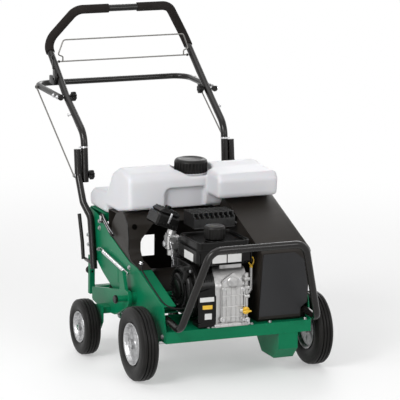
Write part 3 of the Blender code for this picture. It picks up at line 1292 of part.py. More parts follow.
def lift_bar():
    """Bent bar behind the handle that raises and lowers the rear wheels."""
    back, height = REAR_REACH - LIFT_BAR_R, LIFT_PIVOT_Z + 0.0045
    start = (LIFT_BAR_X, LIFT_PIVOT_Y - 0.014, LIFT_PIVOT_Z - 0.0002)
    line = rounded([(-start[0], *start[1:]), (-LIFT_BAR_X, back, height), (LIFT_BAR_X, back, height), start],
                   0.060, 30)
    bar = tube(line, LIFT_BAR_R, 2)
    pins = []
    for side in (-1, 1):
        pins.append(rod((side * (LIFT_BAR_X + 0.008), *ROD_EYE),
                        (side * (LIFT_BAR_X + 0.020), *ROD_EYE), 0.0030, 8))
        pins.append(rod((side * (LIFT_BAR_X - 0.0085), LIFT_PIVOT_Y, LIFT_PIVOT_Z),
                        (side * (LIFT_BAR_X - 0.0425), LIFT_PIVOT_Y, LIFT_PIVOT_Z), 0.0040, 8))
        pins.append(lobed_knob(side * (LIFT_BAR_X - 0.042), side * (LIFT_BAR_X - 0.062),
                               LIFT_PIVOT_Y, LIFT_PIVOT_Z))
    finish(fuse(bar, *pins), "lift_bar", TUBE_BLACK, "lift_bar", 40)


def lobed_knob(x0, x1, y, z, radius=0.0175):
    """Five-lobed clamping knob with its axis along X."""
    line = []
    for i in range(5):
        for part, out in ((-0.22, 1.0), (0.22, 1.0), (0.5, 0.80)):
            angle = 2 * math.pi * (i + part) / 5
            line.append((y + radius * out * math.cos(angle), z + radius * out * math.sin(angle)))
    return plate("YZ", min(x0, x1), max(x0, x1), line)


def lift_rods():
    """Rods from the lift bar's pins down to the guides beside the fold joint."""
    y0, z0 = ROD_EYE
    y1, z1 = ROD_GUIDE
    along = Vector((0, y1 - y0, z1 - z0)).normalized()
    start = Vector((ROD_X, y0, z0))
    end = Vector((ROD_X, y1, z1)) + along * 0.018
    wire = rod(start + along * 0.0048, end, ROD_R, 8)
    eye = turned([(0.0075, 0.0026), (0.0075, -0.0026), (0.0035, -0.0026), (0.0035, 0.0026)], 10, start)
    pair(fuse(eye, wire), "lift_rod", STEEL, "lift_rods", 40)


ROD_GUIDE = (FOLD_Y + 0.005, FOLD_Z + 0.007)


def fold_hardware():
    for side, name in ((-1, "right"), (1, "left")):
        inner = side * (UPPER_X - TUBE_R - GAP)
        stud = rod((inner - side * 0.004, FOLD_Y, FOLD_Z),
                   (side * (LOWER_X + TUBE_R + 0.0008), FOLD_Y, FOLD_Z), 0.0040, 10)
        knob = lobed_knob(inner, inner - side * 0.020, FOLD_Y, FOLD_Z)
        finish(fuse(knob, stud), "fold_knob_" + name, PLASTIC, "fold_knob_" + name, 40)
        face = POST_Y + POST_HALF + GAP
        profile = [(0, 0.020), (0.011, 0.020), (0.014, 0.015), (0.014, 0.004), (0.008, 0.0), (0.0040, 0.0),
                   (0.0040, -0.018), (0, -0.018)]
        knob = turned(profile, 12, (side * POST_X, face, POST_KNOB_Z), "Y")
        finish(knob, "post_knob_" + name, PLASTIC, "post_knob_" + name, 40)


def throttle():
    """Throttle lever on the right upright's bracket."""
    y, z = THROTTLE
    near = THROTTLE_X + GAP
    lever = box(-near - 0.003, -near, y - 0.006, y + 0.006, z - 0.006, z + 0.034)
    ball = box(-near - 0.009, -near - 0.0001, y - 0.008, y + 0.008, z + 0.030, z + 0.044, 0.003)
    pin = rod((-near - 0.002, y, z), (-THROTTLE_X + 0.006, y, z), THROTTLE_PIN_R, 8)
    finish(fuse(lever, ball, pin), "throttle_lever", PLASTIC, "throttle_lever", 40)


def control_cable():
    """Throttle cable clipped under the right upright, down to the fold joint."""
    x = -UPPER_X - 0.004
    line = rounded([(x, 1.100, 0.9155), (x, 0.981, 0.8265), (x, 0.8135, 0.7225), (x, 0.8075, 0.650)],
                   0.06, 24)
    finish(tube(line, 0.0030, 1), "control_cable", PLASTIC, "upper_handle", 40)


def cable_sleeve():
    """Cable sleeve down the rear of a leg, held by the clevis at its foot."""
    x = LOWER_X + 0.002
    line = rounded([(x, 0.768, 0.448), (x, 0.735, 0.350), (x, 0.7245, 0.290)], 0.05, 20)
    sleeve = tube(line, SLEEVE_R, 1)
    clevis = box(POST_X + POST_HALF + 0.0005, x - SLEEVE_R + 0.0018, 0.668, 0.729, 0.284, 0.296)
    return fuse(sleeve, clevis)


def build():
    make_pivots()
    engine_deck()
    side_plate(-1, "side_plate_right")
    side_plate(1, "side_plate_left")
    rear_crossbar()
    reel_guard()
    tank_shelf()
    front_guard()
    belt_guard()
    arch_shroud()
    front_wheels()
    rear_wheel(-1, "right")
    rear_wheel(1, "left")
    lift_frame()
    lift_springs()
    tine_reel()
    drive_belt()
    crankshaft()
    jackshaft()
    drive_chain()
    idler()
    engine_block()
    muffler()
    fuel_tank()
    blower_housing()
    recoil_starter()
    starter_grip()
    air_cleaner()
    carburettor()
    engine_caps()
    water_tank()
    water_cap()
    tank_straps()
    lower_legs()
    upper_handle()
    handle_grips()
    bail()
    lift_bar()
    lift_rods()
    fold_hardware()
    throttle()
    control_cable()


build()
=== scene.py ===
# %% [markdown]
# # A walk-behind lawn aerator
#
# The machine is a welded green frame on four solid tyres, with an engine at
# the front, a water tank for ballast over a covered reel of hollow tines, and
# a folding tube handle. The solids are loaded first. Pieces whose shape is
# already right get a finish and rounded edges, and the others are modelled
# again with more detail in exactly the same place.

# %% Load the solids
import math

import bmesh
import bpy
from mathutils import Matrix, Vector


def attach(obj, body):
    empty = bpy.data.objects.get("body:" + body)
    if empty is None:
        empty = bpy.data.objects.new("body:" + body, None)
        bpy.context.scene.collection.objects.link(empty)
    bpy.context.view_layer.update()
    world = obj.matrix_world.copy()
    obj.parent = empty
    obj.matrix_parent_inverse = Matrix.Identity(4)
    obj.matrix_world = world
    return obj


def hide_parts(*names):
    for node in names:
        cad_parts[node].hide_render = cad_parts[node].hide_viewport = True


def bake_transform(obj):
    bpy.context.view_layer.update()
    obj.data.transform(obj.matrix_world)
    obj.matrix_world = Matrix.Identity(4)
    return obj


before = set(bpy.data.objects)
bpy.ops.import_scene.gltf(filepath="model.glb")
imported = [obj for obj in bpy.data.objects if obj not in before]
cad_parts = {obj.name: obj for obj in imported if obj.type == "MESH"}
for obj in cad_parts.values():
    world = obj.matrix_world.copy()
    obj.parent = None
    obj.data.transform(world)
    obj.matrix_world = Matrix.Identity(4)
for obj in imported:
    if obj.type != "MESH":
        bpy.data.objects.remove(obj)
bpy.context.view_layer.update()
MM = 0.001
MIDDLE_Y = 547.4
SIDES = ((-1, "right"), (1, "left"))

# Places in the machine, in millimetres: x, or (y, z)
PLATE_X = 270
AXLE = (113, 129)
REAR_AXLE = (507, 99)
LIFT_AXLE = (290, 245)
REEL = (430, 172)
CRANK = (110, 310)
JACKSHAFT = (270, 360)
SPRING_BOLT = (606, 351)
FOLD = (785, 585)
LIFT_PIVOT = (972, 841)

# %% [markdown]
# ## Writing shader maths as sums
#
# A shader's nodes are easier to read as an expression. Wire wraps one output
# socket, and its operators add Math nodes, so `1 - mask * 0.4` builds two of
# them. Colours are mixed with Mix nodes, since a Math node turns them grey.

# %% Wire and Finish


class Wire:
    """One output socket, with operators that add Math nodes."""

    def __init__(self, finish, socket):
        self.finish = finish
        self.socket = socket

    def math(self, operation, *values):
        return self.finish.node("ShaderNodeMath", {"operation": operation}, dict(enumerate(values)))

    def __add__(self, other):
        return self.math("ADD", self, other)

    def __radd__(self, other):
        return self.math("ADD", other, self)

    def __sub__(self, other):
        return self.math("SUBTRACT", self, other)

    def __rsub__(self, other):
        return self.math("SUBTRACT", other, self)

    def __mul__(self, other):
        return self.math("MULTIPLY", self, other)

    def __rmul__(self, other):
        return self.math("MULTIPLY", other, self)

    def between(self, low, high):
        """0 below low, 1 above high and smooth from one to the other."""
        return self.finish.node("ShaderNodeMapRange", {"interpolation_type": "SMOOTHSTEP"},
                                {0: self, 1: low, 2: high})


class Finish:
    """A material and the one method that adds nodes to it."""

    def __init__(self, name, slot, colour, rough, metal=0.0, coat=0.0, shine=0.5):
        self.slot = slot
        self.material = bpy.data.materials.new(name)
        self.material.use_nodes = True
        self.tree = self.material.node_tree
        self.shader = self.tree.nodes["Principled BSDF"]
        self.base = (*colour, 1.0)
        self.material.diffuse_color = self.base
        self.place = self.node("ShaderNodeTexCoord", output="Object")
        self.paint(base_color=self.base, roughness=rough, metallic=metal, coat_weight=coat)
        self.shader.inputs["Specular IOR Level"].default_value = shine

    def feed(self, socket, value):
        if isinstance(value, Wire):
            self.tree.links.new(value.socket, socket)
        else:
            socket.default_value = value

    def node(self, kind, settings=None, sockets=None, output=0):
        made = self.tree.nodes.new(kind)
        for key, value in (settings or {}).items():
            setattr(made, key, value)
        for key, value in (sockets or {}).items():
            self.feed(made.inputs[key], value)
        return Wire(self, made.outputs[output])

    def noise(self, scale, detail, rough=0.5):
        return self.node("ShaderNodeTexNoise", None,
                         {"Vector": self.place, "Scale": scale, "Detail": detail, "Roughness": rough})

    def cells(self, scale):
        """A tone that each Voronoi cell keeps."""
        colour = self.node("ShaderNodeTexVoronoi", None, {"Vector": self.place, "Scale": scale}, "Color")
        return self.node("ShaderNodeSeparateColor", None, {0: colour})

    def mix(self, mask, first, second):
        return self.node("ShaderNodeMix", {"data_type": "RGBA"}, {0: mask, 6: first, 7: second}, 2)

    def tint(self, factor):
        """The base colour, lighter or darker."""
        return tuple(min(1.0, v * factor) for v in self.base[:3]) + (1.0,)

    def paint(self, **values):
        for key, value in values.items():
            self.feed(self.shader.inputs[key.replace("_", " ").title()], value)

    def bump(self, height, depth):
        """Relief of so many metres where height is 1."""
        relief = self.node("ShaderNodeBump", None, {"Distance": depth, "Height": height}, "Normal")
        self.feed(self.shader.inputs["Normal"], relief)


# %% [markdown]
# ## Finishes
#
# Enamel is glossy with a faint orange peel and a little field dust that has
# settled in patches. Powder coat is duller and finely pebbled. Each finish
# below says what the real surface does, then varies only colour, roughness
# and relief over the surface.

# %% Painted sheet and tube
def enamel(name, slot, colour, rough, coat, peel, dust, dust_colour, shine):
    """Sprayed paint: orange peel, patchy dust and slightly uneven gloss."""
    made = Finish(name, slot, colour, rough, 0.0, coat, shine)
    patches = made.noise(9.0, 4.0, 0.6).between(0.45, 0.75)
    fine = made.noise(160.0, 3.0, 0.6).between(0.35, 0.8)
    shade = made.mix(made.noise(3.5, 2.0).between(0.3, 0.7), made.tint(0.90), made.tint(1.10))
    made.paint(base_color=made.mix(patches * fine * dust, shade, (*dust_colour, 1.0)),
               roughness=patches * 0.12 + rough + fine * 0.05)
    made.bump(made.noise(peel, 2.0), 0.00006)
    return made


GREEN = enamel("green_enamel", "green_paint", (0.002, 0.158, 0.069), 0.30, 0.0, 420.0, 0.03,
               (0.06, 0.26, 0.14), 0.12)
COAT = enamel("black_powder_coat", "black_powder_coat", (0.0175, 0.0146, 0.0122), 0.42, 0.0, 1400.0, 0.08,
              (0.07, 0.06, 0.052), 0.20)
PANEL = enamel("black_satin_coat", "black_powder_coat", (0.0180, 0.0180, 0.0195), 0.50, 0.0, 1400.0, 0.06,
               (0.07, 0.07, 0.07), 0.32)
TUBE = enamel("black_tube_coat", "black_tube", (0.0060, 0.0050, 0.0045), 0.20, 0.10, 900.0, 0.04,
              (0.05, 0.045, 0.04), 0.28)

# %% Rubber, foam and plastics


def soft_black(name, slot, colour, rough, grain, depth, dust):
    """Rubber and foam: dull, with a grain and dust that lightens it."""
    made = Finish(name, slot, colour, rough, shine=0.15)
    grains = made.noise(grain, 4.0, 0.7)
    dusty = made.noise(14.0, 5.0, 0.65).between(0.40, 0.80) * dust
    made.paint(base_color=made.mix(dusty, made.tint(1.0), (0.075, 0.07, 0.062, 1.0)),
               roughness=grains * 0.12 + rough)
    made.bump(grains, depth)
    return made


TYRE = soft_black("tyre_rubber", "tyre_rubber", (0.0070, 0.0066, 0.0062), 0.38, 320.0, 0.00012, 0.08)
RUBBER = soft_black("moulded_rubber", "rubber", (0.012, 0.012, 0.012), 0.5, 500.0, 0.00008, 0.15)
FOAM = soft_black("grip_foam", "foam_grip", (0.016, 0.013, 0.012), 0.82, 1300.0, 0.00045, 0.10)


def moulded_plastic(name, slot, colour, rough, grain, depth, coat=0.0, shine=0.5):
    """Plastic from a mould: fine grain and a slow drift of tone."""
    made = Finish(name, slot, colour, rough, 0.0, coat, shine)
    grains = made.noise(grain, 2.0, 0.6)
    cloud = made.noise(5.0, 3.0).between(0.3, 0.7)
    made.paint(base_color=made.mix(cloud, made.tint(0.93), made.tint(1.06)),
               roughness=grains * 0.10 + rough - 0.04)
    made.bump(grains, depth)
    return made


PLASTIC = moulded_plastic("black_plastic", "black_plastic", (0.0045, 0.0043, 0.0041), 0.22, 900.0, 0.00004,
                          shine=0.16)
CAP = moulded_plastic("cap_plastic", "black_plastic", (0.010, 0.0095, 0.0090), 0.34, 700.0, 0.00006,
                      shine=0.18)
YELLOW = moulded_plastic("yellow_plastic", "yellow_plastic", (0.78, 0.47, 0.02), 0.3, 600.0, 0.00003, 0.3)
LABEL = moulded_plastic("blank_label", "polyethylene", (0.66, 0.66, 0.65), 0.35, 300.0, 0.00001)

# %% [markdown]
# Rotationally moulded polyethylene is milky and waxy. Its skin has the fine
# pimples of the mould, and its tone drifts where the wall is thicker. A trace
# of light goes into it, so shaded sides stay soft.

# %% Polyethylene
POLY = Finish("polyethylene", "polyethylene", (0.665, 0.665, 0.69), 0.42, shine=0.3)
wax = POLY.noise(4.0, 3.0).between(0.3, 0.7)
pimples = POLY.noise(330.0, 3.0, 0.6)
POLY.paint(base_color=POLY.mix(wax, POLY.tint(0.97), POLY.tint(1.03)), roughness=pimples * 0.16 + 0.34)
POLY.bump(pimples, 0.00010)
POLY.shader.inputs["Subsurface Weight"].default_value = 0.12
POLY.shader.inputs["Subsurface Scale"].default_value = 0.01

# %% [markdown]
# ## Metals
#
# The engine's castings are sand-cast aluminium with a grainy skin and oily
# recesses. Rims and bolts are zinc plated: the plating freezes in small
# spangles, which Voronoi cells with a random tone each repeat. Steel that
# runs in the soil is dark, with rust in its pores.

# %% Castings, plating and steel


def casting(name, colour, rough, grain, depth):
    """Sand-cast metal: coarse grain with darker oily patches."""
    made = Finish(name, "cast_aluminium", colour, rough, 0.85)
    grains = made.noise(grain, 4.0, 0.7)
    stain = made.noise(22.0, 5.0, 0.65).between(0.48, 0.72)
    made.paint(base_color=made.mix(stain, made.tint(1.0), made.tint(0.62)),
               roughness=grains * 0.2 + rough - 0.06 + stain * 0.10)
    made.bump(grains, depth)
    return made


ALLOY = casting("cast_aluminium", (0.50, 0.495, 0.49), 0.36, 520.0, 0.00025)
BLACK_CAST = casting("black_casting", (0.05, 0.05, 0.05), 0.42, 420.0, 0.0002)


def plating(name, slot, colour, rough, scale, contrast):
    """Plated or drawn metal: a tone for each spangle, and smears."""
    made = Finish(name, slot, colour, rough, 1.0)
    tone = made.cells(scale)
    smear = made.noise(30.0, 4.0, 0.6)
    made.paint(base_color=made.mix(tone, made.tint(1 - contrast), made.tint(1 + contrast)),
               roughness=tone * 0.14 + smear * 0.10 + rough - 0.08)
    made.bump(smear, 0.00008)
    return made


ZINC = plating("galvanised_zinc", "zinc_plate", (0.42, 0.42, 0.425), 0.36, 140.0, 0.22)
STEEL = plating("bright_steel", "bright_steel", (0.55, 0.55, 0.56), 0.26, 500.0, 0.10)
CHROME = plating("chrome_plate", "bright_steel", (0.62, 0.62, 0.63), 0.16, 300.0, 0.05)
WIRE = plating("drawn_wire", "bright_steel", (0.20, 0.195, 0.185), 0.36, 500.0, 0.12)

SOIL_STEEL = Finish("dark_steel", "dark_steel", (0.055, 0.053, 0.052), 0.45, 0.75)
scale_rust = SOIL_STEEL.noise(34.0, 6.0, 0.7).between(0.52, 0.68)
pits = SOIL_STEEL.noise(420.0, 3.0, 0.6)
SOIL_STEEL.paint(base_color=SOIL_STEEL.mix(scale_rust * 0.6, SOIL_STEEL.tint(1.0), (0.16, 0.07, 0.035, 1.0)),
                 roughness=scale_rust * 0.3 + 0.38 + pits * 0.08, metallic=0.8 - scale_rust * 0.5)
SOIL_STEEL.bump(pits, 0.00012)
print("finishes:", len(bpy.data.materials))

# %% [markdown]
# ## Tools for meshes
#
# Every helper measures in millimetres from the front face of the front bar,
# the middle of the machine and the ground, as a workshop drawing would.
# keep() then brings the mesh into the shared frame in metres, gives it a
# finish and ties it to the body that it moves with.

# %% Mesh helpers


def placed(data, name="work"):
    """A new object in the scene."""
    item = bpy.data.objects.new(name, data)
    bpy.context.scene.collection.objects.link(item)
    return item


def loose(work):
    """A bmesh turned into a work object."""
    bmesh.ops.recalc_face_normals(work, faces=work.faces)
    mesh = bpy.data.meshes.new("work")
    work.to_mesh(mesh)
    work.free()
    return placed(mesh)


def settled(item):
    """A work object whose curve or modifiers have become its mesh."""
    bpy.context.view_layer.update()
    mesh = bpy.data.meshes.new_from_object(item.evaluated_get(bpy.context.evaluated_depsgraph_get()))
    mesh.transform(item.matrix_world)
    bpy.data.objects.remove(item, do_unlink=True)
    return placed(mesh)


def keep(item, name, finish, body="chassis", replaces=(), bevel=0.0, smooth=38, segments=2):
    """Finish a work mesh, or several as one, as a named piece that rides on a body."""
    if isinstance(item, list):
        item = join(*item)
    item.name = name
    item.data.name = name
    item.data.transform(Matrix.Scale(MM, 4) @ Matrix.Translation((0, -MIDDLE_Y, 0)) @ item.matrix_world)
    item.matrix_world = Matrix.Identity(4)
    item.data.materials.clear()
    item.data.materials.append(finish.material)
    item.data.shade_smooth()
    item.data.set_sharp_from_angle(angle=math.radians(smooth))
    if bevel:
        round_off(item, bevel, segments)
    if body:
        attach(item, body)
    if replaces:
        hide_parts(*replaces)
    return item


def round_off(item, width, segments=2):
    soft = item.modifiers.new("Edges", "BEVEL")
    soft.width = width * MM
    soft.segments = segments
    soft.limit_method = "ANGLE"
    soft.angle_limit = math.radians(32)
    soft.use_clamp_overlap = True
    soft.harden_normals = True


def join(*items):
    """Several work meshes as one."""
    work = bmesh.new()
    bpy.context.view_layer.update()
    for item in items:
        item.data.transform(item.matrix_world)
        work.from_mesh(item.data)
        bpy.data.objects.remove(item, do_unlink=True)
    return loose(work)


def aim(at, way):
    """A matrix that puts the origin at a point and Z along a direction."""
    return Matrix.Translation(at) @ Vector(way).to_track_quat("Z", "Y").to_matrix().to_4x4()


def lathe(profile, steps, at, way=(0, 0, 1), phase=0.0, shape=None, bored=False):
    """Turn (radius, height) points about an axis; shape(angle, radius, height) may adjust them."""
    work = bmesh.new()
    rings = []
    for radius, height in profile:
        if radius == 0:
            rings.append([work.verts.new((0, 0, height))] * steps)
            continue
        ring = []
        for i in range(steps):
            angle = 2 * math.pi * i / steps + phase
            r, h = shape(angle, radius, height) if shape else (radius, height)
            ring.append(work.verts.new((r * math.cos(angle), r * math.sin(angle), h)))
        rings.append(ring)
    if bored:
        rings.append(rings[0])
    for low, high in zip(rings, rings[1:]):
        for i in range(steps):
            j = (i + 1) % steps
            face = list(dict.fromkeys((low[i], low[j], high[j], high[i])))
            if len(face) > 2:
                work.faces.new(face)
    for ring in () if bored else (rings[0], rings[-1]):
        if ring[0] is not ring[1]:
            work.faces.new(ring)
    bmesh.ops.transform(work, matrix=aim(at, way), verts=work.verts)
    return loose(work)


def ringed(profile, steps, at, way=(0, 0, 1), shape=None):
    """Turn a closed outline of (radius, height) points, which leaves a bore."""
    return lathe(profile, steps, at, way, 0.0, shape, True)


def bar(start, end, radius, steps=20, end_radius=None, round_end=0.0):
    """A round bar between two points."""
    start, end = Vector(start), Vector(end)
    length = (end - start).length
    last = end_radius or radius
    profile = [(0, 0), (radius, 0), (last, length), (0, length)]
    if round_end:
        profile[1:3] = [(radius - round_end, 0), (radius, round_end), (last, length - round_end),
                        (last - round_end, length)]
    return lathe(profile, steps, start, end - start)


def brick(x0, x1, y0, y1, z0, z1, bevel, segments=3, turn=Matrix.Identity(4)):
    """A box with rounded edges; its ends in X may be given in either order."""
    work = bmesh.new()
    size = Matrix.Diagonal((abs(x1 - x0), y1 - y0, z1 - z0, 1))
    middle = Matrix.Translation(((x0 + x1) / 2, (y0 + y1) / 2, (z0 + z1) / 2))
    bmesh.ops.create_cube(work, size=1, matrix=middle @ size)
    bmesh.ops.bevel(work, geom=list(work.edges), offset=bevel, segments=segments, affect="EDGES", profile=0.5)
    bmesh.ops.transform(work, matrix=turn, verts=work.verts)
    return loose(work)


def rounded(points, radii, step=7):
    """A line through points whose corners are arcs of the given radii."""
    if isinstance(radii, (int, float)):
        radii = [radii] * len(points)
    points = [Vector(p) for p in points]
    line = [points[0]]
    for before, corner, after, radius in zip(points, points[1:], points[2:], radii[1:]):
        back, ahead = (before - corner).normalized(), (after - corner).normalized()
        half = back.angle(ahead) / 2
        sweep = math.pi - 2 * half
        if radius <= 0 or sweep < 0.02:
            line.append(corner)
            continue
        reach = radius / math.tan(half)
        middle = corner + (back + ahead).normalized() * (radius / math.sin(half))
        first = corner + back * reach - middle
        across = (first.cross(corner + ahead * reach - middle)).normalized()
        count = max(1, math.ceil(math.degrees(sweep) / step))
        for i in range(count + 1):
            line.append(middle + Matrix.Rotation(sweep * i / count, 3, across) @ first)
    line.append(points[-1])
    return line


def tube(points, radius, resolution, cyclic=False):
    """A round bar along a line, as a mesh."""
    data = bpy.data.curves.new("tube", "CURVE")
    data.dimensions = "3D"
    data.bevel_depth = radius
    data.bevel_resolution = resolution
    data.use_fill_caps = True
    trace(data, points, cyclic)
    return baked(data)


def trace(data, points, cyclic):
    """Add a line of straight steps to a curve."""
    spline = data.splines.new("POLY")
    spline.points.add(len(points) - 1)
    spline.use_cyclic_u = cyclic
    for target, source in zip(spline.points, points):
        target.co = (*Vector(source).to_3d(), 1)


def baked(data, place=Matrix.Identity(4)):
    """A curve turned into a mesh object."""
    source = placed(data)
    source.matrix_world = place
    item = settled(source)
    work = bmesh.new()
    work.from_mesh(item.data)
    bpy.data.objects.remove(item, do_unlink=True)
    bmesh.ops.remove_doubles(work, verts=work.verts, dist=1e-3)
    return loose(work)


PLANES = {
    "YZ": Matrix(((0, 0, 1, 0), (1, 0, 0, 0), (0, 1, 0, 0), (0, 0, 0, 1))),
    "XZ": Matrix(((1, 0, 0, 0), (0, 0, -1, 0), (0, 1, 0, 0), (0, 0, 0, 1))),
    "XY": Matrix.Identity(4),
}


def plate(plane, low, high, *outlines):
    """A flat outline with holes, as thick as from low to high across its plane."""
    data = bpy.data.curves.new("plate", "CURVE")
    data.dimensions = "2D"
    data.fill_mode = "BOTH"
    data.extrude = abs(high - low) / 2
    for outline in outlines:
        trace(data, outline, True)
    middle = (low + high) / 2
    shift = {"YZ": (middle, 0, 0), "XZ": (0, middle, 0), "XY": (0, 0, middle)}[plane]
    return baked(data, Matrix.Translation(shift) @ PLANES[plane])


def corners(points, radii, step=12):
    """A closed outline whose corners are arcs."""
    if isinstance(radii, (int, float)):
        radii = [radii] * len(points)
    flat = [Vector(p).to_3d() for p in points]
    line = []
    for i, radius in enumerate(radii):
        three = [flat[i - 1], flat[i], flat[(i + 1) % len(flat)]]
        line += [v.xy for v in rounded(three, [0, radius, 0], step)[1:-1]]
    return line


def square(a0, a1, b0, b1, radius, step=12):
    """A rectangle with round corners."""
    return corners([(a0, b0), (a1, b0), (a1, b1), (a0, b1)], radius, step)


def circle(x, y, radius, steps=24):
    return [(x + radius * math.cos(2 * math.pi * i / steps), y + radius * math.sin(2 * math.pi * i / steps))
            for i in range(steps)]


def bolt(at, way, radius=6.5, height=5, washer=True):
    """A hexagon head with a washer under it, standing on a surface."""
    base = 1.5 if washer else 0
    head = lathe([(0, base), (radius, base), (radius, base + height * 0.8), (radius * 0.86, base + height),
                  (0, base + height)], 6, at, way, 0.3)
    if not washer:
        return head
    wide = radius * 1.45
    return join(lathe([(0, 0), (wide, 0), (wide, base * 0.8), (radius * 1.38, base), (0, base)], 24, at, way),
                head)


def nut_and_end(at, way, radius, stud, reach):
    """A nut with the end of its bolt showing."""
    top = 6 + reach
    return join(bolt(at, way, radius, 4.5),
                lathe([(0, 4), (stud, 4), (stud, top - 0.8), (stud - 0.8, top), (0, top)], 14, at, way))


print("helpers ready")

# %% [markdown]
# ## Camera, floor and lamps
#
# The photograph was taken from the machine's front right, a little above its
# handle, with a long lens. The floor is plain and pale, and five large soft
# lamps give the tubes and the enamel long, quiet highlights.

# %% Camera
CAMERA_AT = Vector((-3.817, -8.799 - MIDDLE_Y * MM, 2.657))
LOOKING = Vector((0.3763, 0.9031, -0.2069)).normalized()
CAMERA_ROLL = math.radians(0.66)
FOCAL_PIXELS = 2890.3
level = LOOKING.cross(Vector((0, 0, 1))).normalized()
over = level.cross(LOOKING)
right = math.cos(CAMERA_ROLL) * level + math.sin(CAMERA_ROLL) * over
upward = math.cos(CAMERA_ROLL) * over - math.sin(CAMERA_ROLL) * level
camera_data = bpy.data.cameras.new("camera")
camera_data.sensor_width = 36.0
camera_data.lens = FOCAL_PIXELS / 400 * camera_data.sensor_width
camera_data.clip_end = 200.0
camera = placed(camera_data, "camera")
camera.matrix_world = Matrix.Translation(CAMERA_AT) @ Matrix((right, upward, -LOOKING)).transposed().to_4x4()
bpy.context.scene.camera = camera
bpy.context.scene.view_settings.view_transform = "Standard"
print("lens: %.1f mm" % camera_data.lens)

# %% Floor and backdrop


def background_rays(tree):
    """A socket that is 1 for rays from the camera and for those that metal or glass sends on."""
    path = tree.nodes.new("ShaderNodeLightPath")
    seen = path.outputs["Is Camera Ray"]
    for kind in ("Is Glossy Ray", "Is Transmission Ray"):
        either = tree.nodes.new("ShaderNodeMath")
        either.operation = "MAXIMUM"
        tree.links.new(seen, either.inputs[0])
        tree.links.new(path.outputs[kind], either.inputs[1])
        seen = either.outputs[0]
    return seen


FLOOR_REACH = 60.0
FLOOR_GLOW = 0.36
work = bmesh.new()
bmesh.ops.create_grid(work, x_segments=1, y_segments=1, size=FLOOR_REACH)
floor = loose(work)
floor.name = "floor"
floor_finish = Finish("floor", "polyethylene", (0.97, 0.97, 0.97), 0.6)
spot = floor_finish.node("ShaderNodeVectorMath", {"operation": "LENGTH"}, {0: floor_finish.place}, "Value")
far = spot.between(1.1, 3.2)
seen = Wire(floor_finish, background_rays(floor_finish.tree))
floor_finish.paint(base_color=floor_finish.mix(floor_finish.noise(0.8, 3.0), floor_finish.tint(0.99),
                                               floor_finish.tint(1.01)))
glow = floor_finish.node("ShaderNodeEmission", None, {"Color": (1, 1, 1, 1), "Strength": 1.0})
lit = Wire(floor_finish, floor_finish.shader.outputs[0])
both_ways = floor_finish.node("ShaderNodeMixShader", None,
                              {0: (far * (1 - FLOOR_GLOW) + FLOOR_GLOW) * seen, 1: lit, 2: glow})
floor_finish.tree.links.new(both_ways.socket, floor_finish.tree.nodes["Material Output"].inputs["Surface"])
floor.data.materials.append(floor_finish.material)
floor.location.z = -0.0005

world = bpy.data.worlds.new("studio")
world.use_nodes = True
bpy.context.scene.world = world
backdrop = world.node_tree.nodes["Background"]
backdrop.inputs["Color"].default_value = (1, 1, 1, 1)
WORLD_LIGHT = 0.34
strength = world.node_tree.nodes.new("ShaderNodeMath")
strength.operation = "MULTIPLY_ADD"
strength.inputs[1].default_value = 1 - WORLD_LIGHT
strength.inputs[2].default_value = WORLD_LIGHT
world.node_tree.links.new(background_rays(world.node_tree), strength.inputs[0])
world.node_tree.links.new(strength.outputs[0], backdrop.inputs["Strength"])

# %% Lamps


def soft_lamp(name, place, target, size, watts):
    """A rectangle of light that faces its target."""
    data = bpy.data.lights.new(name, "AREA")
    data.shape = "RECTANGLE"
    data.size, data.size_y = size
    data.energy = watts
    placed(data, name).matrix_world = aim(place, Vector(place) - Vector(target))


soft_lamp("key_lamp", (-3.6, -2.4, 3.4), (0, 0, 0.5), (2.0, 1.6), 130)
soft_lamp("front_lamp", (1.6, -4.6, 2.4), (0, 0, 0.4), (2.0, 1.4), 46)
soft_lamp("top_lamp", (-0.2, 0.6, 4.2), (0, 0, 0.5), (3.0, 3.0), 34)
soft_lamp("strip_lamp", (-3.0, -2.6, 1.25), (0, 0, 0.6), (0.5, 2.4), 26)
soft_lamp("back_lamp", (2.4, 3.8, 2.6), (0, 0, 0.7), (2.2, 1.8), 40)

# %% [markdown]
# ## Solids that stay
#
# A folded sheet or a casting from the solids already has the right shape.
# Real edges are never razor sharp, so each gets a narrow rounding that
# catches the light. Weld and planar dissolve first clear the triangles, so
# that the rounding runs along true edges only.

# %% Finish for each solid, with the width of its edges in millimetres
DRESSED = {
    "engine_deck": (GREEN, 0.9), "side_plate_right": (GREEN, 0.8), "side_plate_left": (GREEN, 0.8),
    "rear_crossbar": (GREEN, 1.2), "tank_shelf": (GREEN, 0.7), "lift_frame": (GREEN, 1),
    "reel_guard": (COAT, 0.5), "arch_shroud": (COAT, 0.6),
    "front_axle": (STEEL, 0.6), "drive_belt": (RUBBER, 0.8), "crankshaft_pulley": (STEEL, 0.5),
    "jackshaft": (SOIL_STEEL, 0.5), "drive_chain": (SOIL_STEEL, 0.3), "idler_arm": (STEEL, 0.6),
    "idler_pulley": (SOIL_STEEL, 0.5), "engine_block": (ALLOY, 1.2), "muffler": (BLACK_CAST, 0.8),
    "fuel_tank": (PLASTIC, 3), "blower_housing": (PLASTIC, 4), "air_cleaner": (PLASTIC, 1.4),
    "carburettor": (ALLOY, 0.8), "oil_cap": (YELLOW, 0.6), "dipstick": (YELLOW, 0.4),
    "throttle_lever": (PLASTIC, 0.6), "starter_grip": (PLASTIC, 1.2),
}


